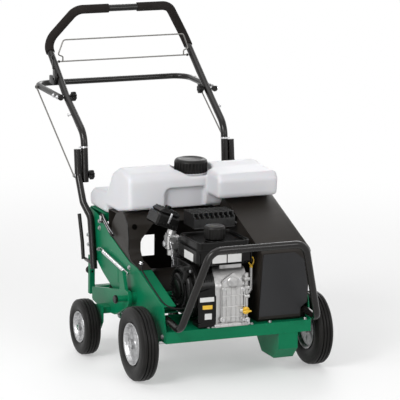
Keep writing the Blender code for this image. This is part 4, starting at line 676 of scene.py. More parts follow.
def dress(name, finish, width):
    """Give a solid its finish and rounded edges."""
    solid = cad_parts[name]
    mesh = solid.data
    if "custom_normal" in mesh.attributes:
        mesh.attributes.remove(mesh.attributes["custom_normal"])
    mesh.shade_smooth()
    for place in solid.material_slots:
        place.material = finish.material
    weld = solid.modifiers.new("Weld", "WELD")
    weld.merge_threshold = 0.00002
    plain = solid.modifiers.new("Plain faces", "DECIMATE")
    plain.decimate_type = "DISSOLVE"
    plain.angle_limit = math.radians(0.6)
    round_off(solid, width)


for node_name, (node_finish, edge_width) in DRESSED.items():
    dress(node_name, node_finish, edge_width)
print("dressed solids:", len(DRESSED))

# %% [markdown]
# ## Tyres and rims
#
# The tyres are solid rubber with four ribs round the tread and a step where
# the side wall meets it. Their outline is turned about the axle. The rims
# are two pressed halves with a rolled lip, a dished disc with five shallow
# embossed lobes, and a hub tube.

# %% Wheels


def tyre_outline(radius, width, bead):
    """Closed outline of a tyre's section, with ribs across the tread."""
    half = width / 2
    depth = radius - bead
    wall = [(0.10, 0.80), (0.28, 0.95), (0.45, 1.00), (0.62, 0.99), (0.76, 0.94), (0.80, 0.905), (0.84, 0.90),
            (0.90, 0.84)]
    side = [(bead + 1, half * 0.70)] + [(bead + depth * out, half * wide) for out, wide in wall]
    tread = []
    ribs = 4
    reach = half * 0.72
    pitch = 2 * reach / ribs
    groove = 4.6
    rib = [(1.2, 0), (0, 0.12), (0, 0.66), (1.2, 0.76), (groove, 0.82), (groove, 0.96)]
    for i in range(ribs):
        start = reach - i * pitch
        crown = radius - depth * 0.05 * (abs(start - pitch / 2) / reach) ** 2
        tread += [(crown - deep, start - pitch * along) for deep, along in rib]
    return side + tread[:-2] + [(r, -h) for r, h in reversed(side)]


# A span of the rim is cut in five where its length times the bead's radius is more than this
FINER_OVER = 643


def rim_outline(bead, half, bore, hub):
    """Rolled lip, well and dished disc, from the outside inwards."""
    out = bead + 1.2
    lip = [(0, 0.78), (1.6, 0.83), (1, 0.87), (-2, 0.87), (-5, 0.80), (-7, 0.60), (-10, 0.44), (-16, 0.40)]
    face = [(12, 0.42), (3, 0.48), (0, 0.60), (0, 0.90), (-2, 0.93)]
    back = [(0, -0.90), (0, -0.60), (10, -0.50)]
    rear = [(-12, -0.54), (-6, -0.78), (0, -0.86)]
    tables = ((out, lip), (hub, face), (bore, [(0, 0.93), (0, -0.90)]), (hub, back), (out, rear))
    outline = [(start + r, half * h) for start, points in tables for r, h in points]
    finer = []
    for first, second in zip(outline, outline[1:]):
        parts = 5 if abs(first[0] - second[0]) * bead > FINER_OVER else 1
        finer += [Vector(first).lerp(Vector(second), k / parts).to_tuple() for k in range(parts)]
    return finer + [outline[-1]]


def lobes(low, high, depth, count=5):
    """Pressed lobes between two radii of a disc."""
    def shape(angle, radius, height):
        reach = max(0.0, 1 - abs((radius - (low + high) / 2) / ((high - low) / 2)))
        wave = max(0.0, math.cos(count * angle)) ** 0.7
        return radius, height + depth * wave * min(1.0, reach * 2.2)
    return shape


def wheel(side, name, body, at, tyre_r, tyre_w, bead, shaft_r, hub):
    way = Vector((side, 0, 0))
    tyre = ringed(tyre_outline(tyre_r, tyre_w, bead), 96, at, way)
    keep(tyre, name + "_tyre_detail", TYRE, body, [name.replace("_", "_tyre_")], smooth=32)
    disc = ringed(rim_outline(bead, tyre_w / 2, shaft_r + 0.4, hub), 80, at, way,
                  lobes(hub + 4, bead - 10, -3.5))
    end = Vector(at) + way * (tyre_w / 2 - 0.8)
    washer = ringed([(hub - 1, -1.2), (hub - 1, 0.4), (shaft_r + 0.6, 0.4),
                     (shaft_r + 0.6, -1.2)], 28, end, way)
    keep([disc, washer], name + "_rim_detail", ZINC, body, [name.replace("_", "_rim_")], smooth=40)
    legs = ((0.2, -18, -4), (1.6, 0, 0), (0.2, 18, 4))
    pin = tube([end + Vector((side * x, y, z)) for x, y, z in legs], 1.2, 3)
    keep(pin, name + "_cotter_pin", CHROME, body)


for side, name in SIDES:
    wheel(side, "front_" + name, "front_axle", (side * 325.5, *AXLE), 129, 63, 71, 9.5, 17)
    wheel(side, "rear_" + name, "rear_wheel_" + name, (side * 374.5, *REAR_AXLE), 99, 57, 53, 8, 14)
print("wheels done")

# %% [markdown]
# ## Tubes of the handle
#
# The handle, the guard and the bar are bent round tube. Sweeping a circle
# along the same centre line, with arcs of many short steps, gives them the
# smooth highlights that the coarse solids can't show.

# %% Handle lines
TUBE_R = 12.7
WIRE_R = 2.6
UPPER_X = 273.5
LOWER_X = 299.5
GAP = 0.3
ELBOW = (274, 1195, 1007)
CORNER = (184, 1129, 1135)
ROD_EYE = (1186, 844.5)
BAIL = (1115, 947)


def both(half, radii, step=7):
    """A rounded line from its left half, given from the end to the middle, with a radius for each point."""
    line = [(-x, y, z) for x, y, z in half] + half[::-1]
    return rounded(line, radii + radii[::-1], step)


handle_half = [(UPPER_X, 782, 560), (UPPER_X, 797, 732), (277.5, *LIFT_PIVOT), ELBOW, CORNER]
handle_tube = tube(both(handle_half, [0, 80, 200, 50, 50]), TUBE_R, 8)
THROTTLE_X = 299.8
TUBE_SIDE = -276.9
strap = plate("YZ", -THROTTLE_X, -THROTTLE_X + 3,
              corners([(1037, 890), (1057, 890), (1060, 946), (1040, 946)], 8.5, 15))
strap_foot = bar((TUBE_SIDE, 1047, 898.8), (-THROTTLE_X + 1, 1047, 898.8), 6)
keep([handle_tube, strap, strap_foot], "handle_tube", TUBE, "upper_handle", ["upper_handle"])

box = brick(-THROTTLE_X, -286.2, 1040, 1100, 872, 903, 4)
box_foot = bar((-287, 1068, 892), (TUBE_SIDE, 1068, 909), 5)
keep([box, box_foot], "throttle_box", PLASTIC, "upper_handle")

leg_at = PLATE_X + TUBE_R + GAP
sleeve_x = LOWER_X + 2
for side, name in SIDES:
    leg_line = [(side * x, y, z) for x, y, z in ((leg_at, 663, 266), (leg_at, 700, 448), (LOWER_X, 733, 496),
                                                 (LOWER_X, *FOLD), (LOWER_X, 796, 680))]
    sleeve_line = [(side * sleeve_x, y, z) for y, z in ((768, 448), (735, 350), (724.5, 290))]
    clevis = brick(side * 290, side * 296.5, 668, 729, 284, 296, 1.2)
    keep([tube(rounded(leg_line, 50), TUBE_R, 8), tube(rounded(sleeve_line, 50), 6.8, 6), clevis],
         "leg_tube_" + name, TUBE, "chassis", ["lower_leg_" + name])

guard_half = [(254, 34, 226), (254, -88, 214), (172, -155, 498.5)]
keep(tube(both(guard_half, [0, 35, 50], 5), TUBE_R, 8), "guard_tube", TUBE, "chassis", ["front_guard"])

LIFT_BAR_X = 303.5
bar_half = [(LIFT_BAR_X, LIFT_PIVOT[0] - 14, LIFT_PIVOT[1] - 0.2), (LIFT_BAR_X, 1251, 845.5)]
lift_bar = tube(both(bar_half, [0, 60], 5), 11, 8)
print("tubes done")

# %% [markdown]
# ## Knobs, pins and bolts of the handle
#
# The clamping knobs are moulded with rounded lobes round a thick hub. Each
# stands on a stud whose domed nut shows on the far side of the tubes.

# %% Lobed knobs


def sized(profile, radius, height):
    """A profile given as shares of a radius and a height."""
    return [(radius * r, height * h) for r, h in profile]


def lobed(inner, outer, y, z, radius=17.8, count=7):
    """A clamping knob with rounded lobes, its axis along X."""
    def shape(angle, r, h):
        grip = max(0.0, min(1.0, (r - radius * 0.45) / (radius * 0.4)))
        return r * (1 - grip * 0.12 * (1 - math.cos(count * angle))), h

    profile = sized([(0, 0), (0.55, 0), (0.60, 0.12), (0.86, 0.18), (1, 0.30), (1, 0.78), (0.93, 0.92),
                     (0.80, 1), (0.42, 1), (0.38, 0.90), (0, 0.90)], radius, abs(outer - inner))
    return lathe(profile, 84, (inner, y, z), (outer - inner, 0, 0), shape=shape)


def ribbed(angle, r, h):
    """Twelve shallow flutes on the widest part of a knob."""
    return r * (1 - 0.05 * abs(math.sin(6 * angle))) if r > 11.5 else r, h


pins, knobs, bar_bolts = [], [], []
for side in (-1, 1):
    way = (side, 0, 0)
    pins += [bar((side * (LIFT_BAR_X + 8), *ROD_EYE), (side * 323.5, *ROD_EYE), 3, 14, round_end=0.8),
             bar((side * 295, *LIFT_PIVOT), (side * 261, *LIFT_PIVOT), 4, 14)]
    knobs.append(lobed(side * 261.2, side * 241.5, *LIFT_PIVOT))
    bar_bolts += [bolt((side * (LIFT_BAR_X + 10.8), y, 841.5), way, 5.8, 4.2) for y in (968, 1008)]
keep([lift_bar, *pins], "lift_bar_tube", TUBE, "lift_bar", ["lift_bar"])
keep(knobs, "lift_bar_knobs", PLASTIC, "lift_bar", smooth=50)
keep(bar_bolts, "lift_bar_bolts", CHROME, "lift_bar", smooth=30)

for side, name in SIDES:
    inner = side * (UPPER_X - TUBE_R - GAP)
    stud = bar((inner, *FOLD), (side * (LOWER_X + TUBE_R + 0.8), *FOLD), 4, 14)
    keep([lobed(inner, inner - side * 20, *FOLD), stud], "fold_knob_lobed_" + name, PLASTIC,
         "fold_knob_" + name, ["fold_knob_" + name], smooth=50)
    profile = [(0, 20), (9, 20), (12.5, 18.5), (14, 15), (14, 5), (12, 3), (8, 0), (4, 0), (4, -18), (0, -18)]
    keep(lathe(profile, 48, (side * 280, 706.8, 250), (0, 1, 0), shape=ribbed), "post_knob_ribbed_" + name,
         PLASTIC, "post_knob_" + name, ["post_knob_" + name], smooth=50)
print("knobs done")

# %% Bail, lift rods and grips
hoop_half = [(x, BAIL[0], BAIL[1] + up) for x, up in ((240, -0.5), (240, 18), (258.5, 26), (238, 80))]
hoop = tube(both(hoop_half, [0, 6, 6, 12], 10), WIRE_R, 4)
cross = bar((-262, *BAIL), (262, *BAIL), WIRE_R, 14)
keep([hoop, cross], "bail_wire", WIRE, "bail", ["bail"])

ROD_X = 318
ROD_GUIDE = (790, 592)
rod_along = Vector((0, ROD_GUIDE[0] - ROD_EYE[0], ROD_GUIDE[1] - ROD_EYE[1])).normalized()
for side, name in SIDES:
    start = Vector((side * ROD_X, *ROD_EYE))
    end = Vector((side * ROD_X, *ROD_GUIDE)) + rod_along * 18
    ring = [(7.5, 2.4), (7, 2.8), (3.8, 2.8), (3.5, 2.4)]
    eye = ringed(ring + [(r, -h) for r, h in ring[::-1]], 28, start, (1, 0, 0))
    wire = bar(start + rod_along * 5.2, end, 2.8, 14)
    keep([eye, wire], "lift_rod_wire_" + name, WIRE, "lift_rods", ["lift_rod_" + name])

    grip_half = [(side * x, y, z) for x, y, z in ((57, *CORNER[1:]), CORNER, ELBOW, (274.5, 1154, 976.5))]
    grip_line = rounded(grip_half, [0, 50, 50, 0], 5)
    grip_line[1:-1] = [a.lerp(b, 0.5) for a, b in zip(grip_line, grip_line[1:])]
    sleeve = tube(grip_line, TUBE_R + 4, 8)
    keep(sleeve, "foam_grip_" + name, FOAM, "upper_handle", ["handle_grip_" + name], bevel=2.2, smooth=50)
print("grips done")

# %% [markdown]
# ## Water tank
#
# A rotationally moulded tank has no sharp edge anywhere, because the powder
# melts against the inside of a mould. A voxel remesh of the solid followed by
# smoothing rounds outer and inner corners alike, as the mould does.

# %% Tank shell
work = bmesh.new()
work.from_mesh(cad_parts["water_tank"].data)
bmesh.ops.remove_doubles(work, verts=work.verts, dist=0.00002)
tank = loose(work)
grow = tank.modifiers.new("Remesh", "REMESH")
grow.mode = "VOXEL"
grow.voxel_size = 0.0034
even = tank.modifiers.new("Smooth", "SMOOTH")
even.factor = 0.5
even.iterations = 9
tank = settled(tank)
tank.data.transform(Matrix.Translation((0, MIDDLE_Y, 0)) @ Matrix.Scale(1 / MM, 4))
keep(tank, "tank_shell", POLY, "chassis", ["water_tank"], smooth=180)
print("tank faces:", len(tank.data.polygons))

# %% [markdown]
# Both caps are coarse screw lids, with thirty grip ribs round the water cap's
# skirt, twenty-two round the fuel cap's and a bead round the top. A thin
# tether ring sits under the water cap on the tank's neck.

# %% Screw caps


def screw_cap(name, at, radius, height, ribs, dip):
    """A ribbed screw cap with a beaded, slightly sunk top."""
    def shape(angle, r, h):
        on_skirt = r > radius * 0.90 and h < height * 0.80
        wave = max(0.0, math.cos(ribs * angle)) ** 0.6
        return r - (radius * 0.055 * (1 - wave) if on_skirt else 0), h

    sunk = 1 - dip / height
    profile = sized([(0, 0), (0.97, 0), (1, 0.03), (1, 0.72), (0.985, 0.80), (0.95, 0.90), (0.88, 0.97),
                     (0.80, 1), (0.70, 0.995), (0.64, sunk), (0, sunk)], radius, height)
    keep(lathe(profile, ribs * 8, at, shape=shape), name + "_ribbed", CAP, name, [name])


NECK = (0, 450, 0)
screw_cap("water_cap", (0, 450, 645.5), 59, 46, 30, 2.5)
screw_cap("fuel_cap", (-66, 70, 489), 37, 44, 22, 1.5)
tether = ringed([(57.5, 642.5), (61, 642.5), (61, 645), (57.5, 645)], 48, NECK)
tab = brick(50, 71, 437, 463, 642.8, 644.6, 0.8)
keep([tether, tab], "cap_tether", POLY)

# %% [markdown]
# ## Tank latches and lift springs
#
# A stretched rubber latch with a wire bail holds the tank down at each side.
# The lift springs are close-wound wire with hooked ends: a helix of many
# turns swept along the line between two bolts. Their rear end sits on the
# side plate and their front end on the lift frame; the spring rides no body.

# %% Latches
for side, name in SIDES:
    line = rounded([(side * x, y, z) for x, y, z in ((273.5, 602, 474), (277.5, 570, 462),
                                                     (277.5, 520, 438), (273.5, 492, 424))], 10, 8)
    loop = plate("YZ", side * 273.5, side * 281.2,
                 corners([(601, 481), (491.5, 431), (497.5, 416.5), (608, 466.5)], 4.5, 30),
                 corners([(586, 468.8), (508, 433.2), (511.5, 427.2), (589, 462.5)], 2, 45))
    pad = brick(side * 270.3, side * 281.5, 594, 612, 448.5, 479, 2.2)
    keep([tube(line, 3.1, 4), loop, pad], "tank_latch_" + name, RUBBER, "chassis", ["tank_strap_" + name])
    wires = [tube([p + Vector((side * 3, -shift * 0.42, shift)) for p in line], 1.1, 3)
             for shift in (-5.2, 5.2)]
    hook = brick(side * 281.2, side * 283, 595, 611, 455, 473, 0.6)
    keep([hook, *wires], "latch_wire_" + name, CHROME)

# %% Springs
SPRING_FRONT = Vector((0, 343, 320))
SPRING_REAR = Vector((0, *SPRING_BOLT))
SPRING_X = 280.2
CURLS = 46


def helix(first, last, turns, radius, steps=14):
    """Points of a coil along X."""
    count = turns * steps
    return [Vector((first + (last - first) * i / count, radius * math.cos(2 * math.pi * i / steps),
                    radius * math.sin(2 * math.pi * i / steps))) for i in range(count + 1)]


def lift_spring(side, name):
    """Hook, coil and hook, first along X and then laid from bolt to bolt."""
    span = SPRING_REAR - SPRING_FRONT
    reach, coil_r, eye = 28, 6, 5.2
    turns = [math.radians(a) for a in range(-40, -301, -14)]
    start = [Vector((eye * math.cos(a), eye * math.sin(a), 0)) for a in turns]
    start += [Vector((reach * 0.45, coil_r * 0.8, 0)), Vector((reach * 0.8, coil_r, 0))]
    end = [Vector((span.length - v.x, v.y, v.z)) for v in reversed(start)]
    along = span.normalized()
    above = Vector((0, -along.z, along.y))
    line = [Vector((side * (SPRING_X + v.z), 0, 0)) + SPRING_FRONT + along * v.x + above * v.y
            for v in start + helix(reach, span.length - reach, CURLS, coil_r) + end]
    spring = keep(tube(line, 1.65, 2), "wound_spring_" + name, CHROME, None, ["lift_spring_" + name],
                  smooth=180)
    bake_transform(spring)


for side, name in SIDES:
    lift_spring(side, name)
print("springs wound")

# %% [markdown]
# ## Tine reel
#
# Coring tines are open steel spoons: a tube whose mouth is cut at a slant,
# with a window behind it that lets the last plug of soil out. Each is clamped
# to its disc by a bolted saddle.

# %% Tines and discs
TINES = 6
ROOT = 70
MOUTH = 115
WINDOW_ROWS = (1, 2, 3)
WINDOW_STEPS = (17, 18, 19, 0, 1, 2)


def spoon(steps=20, rows=8):
    """A hollow tine along Z, with a slanted mouth and a window in its wall."""
    work = bmesh.new()
    around = [2 * math.pi * k / steps for k in range(steps)]
    walls = []
    for radius in (8.5, 6.2):
        for share in (i / rows for i in range(rows + 1)):
            wide = radius * (1 - 0.14 * share)
            walls.append([work.verts.new((wide * math.cos(a), wide * math.sin(a),
                                          ROOT + (MOUTH - 6 * (1 + math.cos(a)) - ROOT) * share))
                          for a in around])
    outer, inner = walls[:rows + 1], walls[rows + 1:]
    for i in range(rows):
        for k in range(steps):
            j = (k + 1) % steps
            cut = i in WINDOW_ROWS and k in WINDOW_STEPS
            if not cut:
                work.faces.new((outer[i][k], outer[i][j], outer[i + 1][j], outer[i + 1][k]))
                work.faces.new((inner[i + 1][k], inner[i + 1][j], inner[i][j], inner[i][k]))
            elif k in (WINDOW_STEPS[0], WINDOW_STEPS[-1]):
                edge = k if k == WINDOW_STEPS[0] else j
                work.faces.new((outer[i][edge], outer[i + 1][edge], inner[i + 1][edge], inner[i][edge]))
    for i in (0, rows, WINDOW_ROWS[0], WINDOW_ROWS[-1] + 1):
        for k in WINDOW_STEPS if 0 < i < rows else range(steps):
            j = (k + 1) % steps
            work.faces.new((outer[i][k], outer[i][j], inner[i][j], inner[i][k]))
    return loose(work)


def coring_tine(base, out, around):
    """One tine with its stem, its saddle and the saddle's bolts."""
    turn = Matrix((around, out.cross(around), out)).transposed().to_4x4()
    tip = spoon()
    tip.data.transform(Matrix.Translation(base) @ turn)
    saddle = brick(-10.5, 10.5, -3.5, 3.5, 38, 62, 1.2, 2,
                   Matrix.Translation(base + around * 7.5) @ turn @ Matrix.Rotation(math.pi / 2, 4, "Z"))
    heads = [bolt(base + out * reach + around * 10.5, around, 4.2, 3.2, False) for reach in (44, 56)]
    return join(bar(base + out * 30, base + out * 72, 7.5, 18, 8.5), tip, saddle, *heads)


def tine_disc(x, bore):
    at = Vector((x, *REEL))
    half = [(bore, 14), (21, 14), (21, 4.5), (22.5, 3), (49.5, 3), (50, 2.5)]
    parts = [ringed(half + [(r, -h) for r, h in half[::-1]], 48, at, (1, 0, 0))]
    for i in range(TINES):
        angle = 2 * math.pi * (i + 0.5) / TINES
        out = Vector((0, math.cos(angle), math.sin(angle)))
        parts.append(coring_tine(at, out, Vector((0, -out.z, out.y))))
    return join(*parts)


shaft = bar((-266.4, *REEL), (266.4, *REEL), 12.5, 24, round_end=1)
keep([shaft, tine_disc(-75, 12), tine_disc(75, 12)], "tine_reel_fixed", SOIL_STEEL, "tine_shaft",
     ["tine_shaft"])
for side, name in SIDES:
    keep(tine_disc(side * 190, 13.1), "tine_disc_" + name, SOIL_STEEL, "outer_tines_" + name,
         ["outer_tine_wheel_" + name])
print("tines done")

# %% [markdown]
# ## Engine details
#
# Under the tank the engine shows its castings: a crankcase cover held by
# bolts, ribs cast into its walls, a breather and the governor's arm with its
# springs. Small parts like these are what make an engine read as one, so
# each is modelled from turned and pressed shapes.

# %% Crankcase front
FRONT = (0, -1, 0)
UP = (0, 0, 1)
CASE_Y = 14
case = [plate("XZ", CASE_Y - 5.5, CASE_Y + 1,
              corners([(-60, 262), (-60, 352), (-20, 378), (12, 350), (12, 262)], 10)),
        lathe([(0, 1.2), (17, 1.2), (18.5, 3), (18.5, 7.5), (16.5, 9.5), (6, 10.2), (0, 10.2)], 40,
              (-24, CASE_Y, 345), FRONT),
        brick(-88, 34, -0.5, 10, 190, 200.5, 2),
        bar((31, 16, 214), (31, 16, 372), 7.5, 18, round_end=2),
        bar((2, 6, 243), (36, 6, 243), 9.5, 18, round_end=2)]
case += [brick(x, x + 3.5, 0.5, 6, 204, 328, 1.2, 2) for x in (-62, -48, -30, -12, 4, 18)]
case += [brick(-66, 22, 0.2, 5, z, z + 4, 1.4, 2) for z in (222, 258, 296)]
bosses = ((-60, 216, 10), (14, 212, 10), (-56, 322, 8.5), (14, 318, 8.5))
case += [bar((x, 12, z), (x, -0.5, z), r, 24, round_end=1.2) for x, z, r in bosses]
case += [brick(x - 10, x + 10, -4, 10, 190.5, 203, 3) for x in (-80, -30, 20)]
case += [brick(x, x + 13, 2, 20, z, z + 13, 4) for x in (18.5, 27.5) for z in (285, 315, 345)]
keep(case, "crankcase_ribs", ALLOY, bevel=0.6)

heads = [bolt((x, -0.7, z), FRONT, 4.5, 3.8, False) for x, z, _ in bosses]
heads += [bolt((x, 8.3, z), FRONT, 4.5, 3.8, False) for x, z in ((-52, 270), (4, 270), (-52, 348), (2, 352))]
heads += [bolt((x, -0.5, 196.5), UP, 4.5, 3.6) for x in (-88, 36)]
drain = bolt((30, 0.5, 209), FRONT, 6.5, 6)
keep([*heads, drain], "crankcase_bolts", STEEL, bevel=0.3)

# %% Cover plates beside the crankcase
front_plate = plate("XZ", 1, 2.8, corners([(-152, 212), (-86, 204), (-86, 300), (-104, 330), (-152, 318)], 6))
lower_plate = brick(-150, -86.5, 1.5, 60, 194.5, 210.5, 2)
keep([front_plate, lower_plate], "blower_front_plate", PLASTIC, bevel=0.6)
keep([brick(-128, -102, 0.3, 0.8, 222, 243, 0.2, 1),
      brick(-146, -94, 0.3, 0.8, 284, 300, 0.2, 1)], "blank_plate_labels", LABEL)
keep(brick(-136, -100, 0.2, 0.8, 258, 272, 0.2, 1), "blank_yellow_label", YELLOW)

# %% [markdown]
# The fuel tank is two halves welded along a flange. Its lid has a raised
# rim, and two blank labels sit on its front.

# %% Fuel tank trim
seam = plate("XY", 456, 460.5, square(-158.5, 52, 0.5, 200.5, 14))
rim = tube([(*p, 484.5) for p in square(-147, 40.5, 12, 189, 20)], 3.5, 4, cyclic=True)
ribs = [brick(x, x + 4, 0.8, 6, 412, 452, 1.5, 2) for x in (-150, 40.5)]
keep([seam, rim, *ribs], "fuel_tank_seam", PLASTIC, bevel=0.8)
blanks = [brick(x0, x1, 1.8, 3, 415.5, 444, 0.4, 1) for x0, x1 in ((-101, -49), (-45, 6))]
keep(blanks, "blank_tank_labels", LABEL)
keep(brick(-157.2, -156, 40, 120, 418, 446, 0.4, 1), "blank_side_label", LABEL)
collar = ringed([(30, 478.5), (33, 478.5), (33.5, 481), (32.5, 483.5), (30, 484)], 44, (-66, 70, 0))
keep(collar, "filler_collar", PLASTIC)

# %% [markdown]
# ## Recoil starter and blower
#
# The starter's cover is a dished disc with two rings of cooling slots round a
# plain centre. Slots are cut as gaps between spokes: the rings are turned and
# the spokes laid across them, over a dark screen.

# %% Starter cover
HUB = Vector((-157.3, *CRANK))
OUTWARD = Vector((-1, 0, 0))


def round_hub(angle, radius):
    """A point on a circle round the crankshaft, from its middle."""
    return Vector((0, radius * math.cos(angle), radius * math.sin(angle)))


def spokes(inner, outer, low, high, count, width, lean):
    """Flat bars between two radii, leaning round the axis."""
    bars = []
    for i in range(count):
        angle = 2 * math.pi * i / count
        a, b = round_hub(angle, inner), round_hub(angle + lean, outer)
        along = (b - a).normalized()
        half = (b - a).length / 2
        turn = Matrix((along, OUTWARD.cross(along), OUTWARD)).transposed().to_4x4()
        drop = Matrix.Rotation(math.atan2(high - low, half * 2), 4, "Y")
        middle = Matrix.Translation(HUB + (a + b) / 2 + OUTWARD * ((low + high) / 2))
        bars.append(brick(-half, half, -width / 2, width / 2, -1.6, 1.6, 0.6, 1, middle @ turn @ drop))
    return bars


turned = [ringed([(81, 0), (81.5, 4), (80, 12), (75, 18.5), (70.5, 20.5), (69, 18.5), (73.5, 12), (76, 4),
                  (76, 0)], 72, HUB, OUTWARD),
          ringed([(56, 27.5), (53, 29.2), (49, 30), (48, 28), (53, 26.2)], 72, HUB, OUTWARD),
          lathe([(0, 20), (34, 24), (36, 28.5), (34.5, 32.5), (28, 34.5), (12, 35), (11, 34), (0, 34)], 60,
                HUB, OUTWARD)]
bars = spokes(55, 71.5, 27.5, 19.5, 40, 2.2, 0.25) + spokes(35, 50, 30, 29, 24, 2.4, -0.30)
outlet = bar((-176, 70, 338), (-176, 46, 385.5), 10, 24, 8, 1)
screen = lathe([(0, 14.5), (76, 9.5), (76, 0.1), (0, 0.1)], 60, HUB, OUTWARD)
keep(screen, "starter_screen", BLACK_CAST)
keep([*turned, outlet, *bars], "starter_cover", PLASTIC, "chassis", ["recoil_starter"], smooth=45)
keep([bolt(HUB + round_hub(math.radians(a), 85.5) + OUTWARD * 0.2, OUTWARD, 4.2, 3.6)
      for a in (35, 125, 215, 305)], "starter_bolts", STEEL)

# %% Blower ribs
keep([tube([Vector((-148 + i * 8.5, *CRANK)) + round_hub(math.radians(a), 102.6)
            for a in range(first, first + 41, 5)], 1.6, 2) for i in range(7) for first in (118, 196)],
     "blower_ribs", PLASTIC)

# %% [markdown]
# ## Cylinder side
#
# The spark plug's boot and lead, the fins of the head, the governor's arm and
# the throttle rods fill the gap between the tank and the arch.

# %% Cylinder head and lead


SLOPE = math.radians(25)


def leaning(along, across):
    """A point in the side view, along and across the cylinder's leaning axis."""
    return (222 + along * math.cos(SLOPE) - across * math.sin(SLOPE),
            352 + along * math.sin(SLOPE) + across * math.cos(SLOPE))


fins = []
for start in (4 + i * 8.5 for i in range(12)):
    outline = [leaning(start + a, b) for a, b in ((0, -45.5), (1.8, -45.5), (1.8, 45.5), (0, 45.5))]
    fins.append(plate("YZ", -68.5, 23.5, corners(outline, 0.4, 90)))
keep(fins, "cylinder_fins", ALLOY, bevel=0.3)
head_way = Vector((0, math.cos(SLOPE), math.sin(SLOPE)))
keep([bolt((x, *leaning(132, across)), head_way, 4.8, 4) for x in (-56, 12)
      for across in (-22, 22)], "head_bolts", STEEL, bevel=0.3)
boot_at = Vector((-40, *leaning(128, 6)))
elbow = boot_at + head_way * 20
boot = [bar(boot_at, boot_at + head_way * 26, 8.5, 20, 7, 1.5),
        bar(elbow, elbow + Vector((-20, 0, 4)), 5.5, 16, round_end=1)]
lead_start = elbow + Vector((-18, 0, 3.6))
lead = tube(rounded([lead_start, lead_start + Vector((-45, -6, 4)), (-128, 262, 430),
                     (-142, 216, 402), (-142, 208, 392)], 18), 3.2, 4)
keep([*boot, lead], "spark_lead", RUBBER)

# %% Governor and carburettor linkage
links = [tube(line, 1.1, 3) for line in (((-178.5, 231, 478), (-150, 216, 470), (-110, 206, 406.5)),
                                         ((-168, 222, 452), (-168, 206, 430), (-162, 200, 372)))]
links.append(tube([(v.y - 166, v.z + 204.5, 425 - v.x) for v in helix(0, 30, 14, 3.2, 10)], 0.7, 2))
keep(links, "throttle_links", CHROME)
lever = plate("XZ", 203.5, 205, corners([(-170, 366), (-150, 362), (-158, 412), (-168, 412)], 4))
plate_two = brick(-166, -118, 211, 212.6, 388, 410, 0.6)
bowl_nut = bolt((-153, 242, 400.5), (0, 0, -1), 6, 6)
screws = [bolt((x, 221.5, z), FRONT, 3.4, 3, False) for x in (-168, -138) for z in (428, 462)]
idle = bar((-160, 222, 446), (-160, 208, 446), 3.2, 14, round_end=0.6)
pump = lathe([(0, 0), (12, 0), (13, 2), (12, 6), (6, 8.5), (0, 8.5)], 30, (-176.5, 246, 440), OUTWARD)
keep([lever, plate_two, bowl_nut, idle, pump, *screws], "governor_lever", STEEL, bevel=0.3)

# %% Air cleaner clips
TILT = Matrix.Translation((-176, 0, 530)) @ Matrix.Rotation(math.radians(22), 4, "Y")
louvres = [brick(x, x + 8.5, 202.6, 206.2, -22, -14, 1, 1, TILT) for x in (-34 + i * 12.5 for i in range(6))]
knob = lathe([(0, 0), (11.5, 0), (11.5, 8), (9.5, 10.5), (0, 10.5)], 28, (0, 0, 0))
knob.data.transform(TILT @ Matrix.Translation((-2, 255, 33.5)))
keep([*louvres, knob], "cleaner_knob", PLASTIC, bevel=0.4)
keep([brick(-6, 2, y, y + 2.4, -12, 24, 0.8, 2, TILT) for y in (202.8, 304.8)], "cleaner_clips", STEEL)

# %% Muffler guard
slats = [bar((-83.5, y, 542.8), (69.5, y, 542.8), 2.2, 10) for y in (226, 246, 266, 286)]
keep([*slats, tube([(-84, 208.5, 492), (70, 208.5, 492)], 2.2, 3)], "muffler_guard_bars", BLACK_CAST)
print("engine details done")

# %% [markdown]
# ## Frame hardware
#
# Bolts hold the bearings, the arch and the guards to the sheets. All heads of
# one place are one piece, since they never move apart.

# %% Bolts and plugs of the frame
frame_bolts, plugs, leg_bolts = [], [], []
plate_bolts = ((345, 340), (30, 168), (165, 168), (250, 168), (640, 420), (640, 445))
for side in (-1, 1):
    way = (side, 0, 0)
    frame_bolts += [bolt((side * PLATE_X, y, z), way) for y, z in plate_bolts]
    for angle in (math.radians(a) for a in (20, 110, 200, 290)):
        spot = (side * PLATE_X, REEL[0] + 26 * math.cos(angle), REEL[1] + 26 * math.sin(angle))
        frame_bolts.append(bolt(spot, way, 4.5, 4))
    frame_bolts.append(nut_and_end((side * 286.2, *SPRING_BOLT), way, 5.2, 3, 2))
    frame_bolts.append(bolt((side * 344, *LIFT_AXLE), way, 6, 3.5, False))
    plugs.append(lathe([(0, 0), (14, 0), (15, 1.5), (15, 6), (13, 8.5), (0, 9)], 32,
                       (side * 339, *LIFT_AXLE), way))
    leg_bolts += [bolt((side * 295.4, y, z), way, 5.5, 4.5) for y, z in ((688, 352), (694, 386))]
    leg_bolts.append(bolt((side * 290, 715, 290), (0, 1, 0), 4, 3.5, False))
    leg_bolts.append(nut_and_end((side * 312.6, *FOLD), way, 6, 3.5, 3))
keep(frame_bolts, "frame_bolts", ZINC, bevel=0.3)
keep(plugs, "pivot_plugs", PLASTIC, "lift_frame")
keep(bolt((-242, 305, 361.5), (0, -0.16, 0.98), 7.5, 6), "arch_bolts", CHROME, bevel=0.4)
keep([bolt((x, y, 190), UP, 5.5, 4.5) for x, y in ((-110, 10), (50, 10), (253, 12), (120, 12), (-225, 85))],
     "deck_bolts", ZINC, bevel=0.3)
keep(leg_bolts, "leg_bolts", CHROME, bevel=0.3)

# %% [markdown]
# ## Belt guard
#
# The guard is one pressed cover. Its front leans back a little, its top
# climbs to the tank, and the outer corner of its nose is turned back below
# the top edge. The cover is a loft: the same side outline is repeated at a
# few places across the machine, and the outer ones change a little. They are
# also cut back at the bottom, where the tube of the front guard ends.

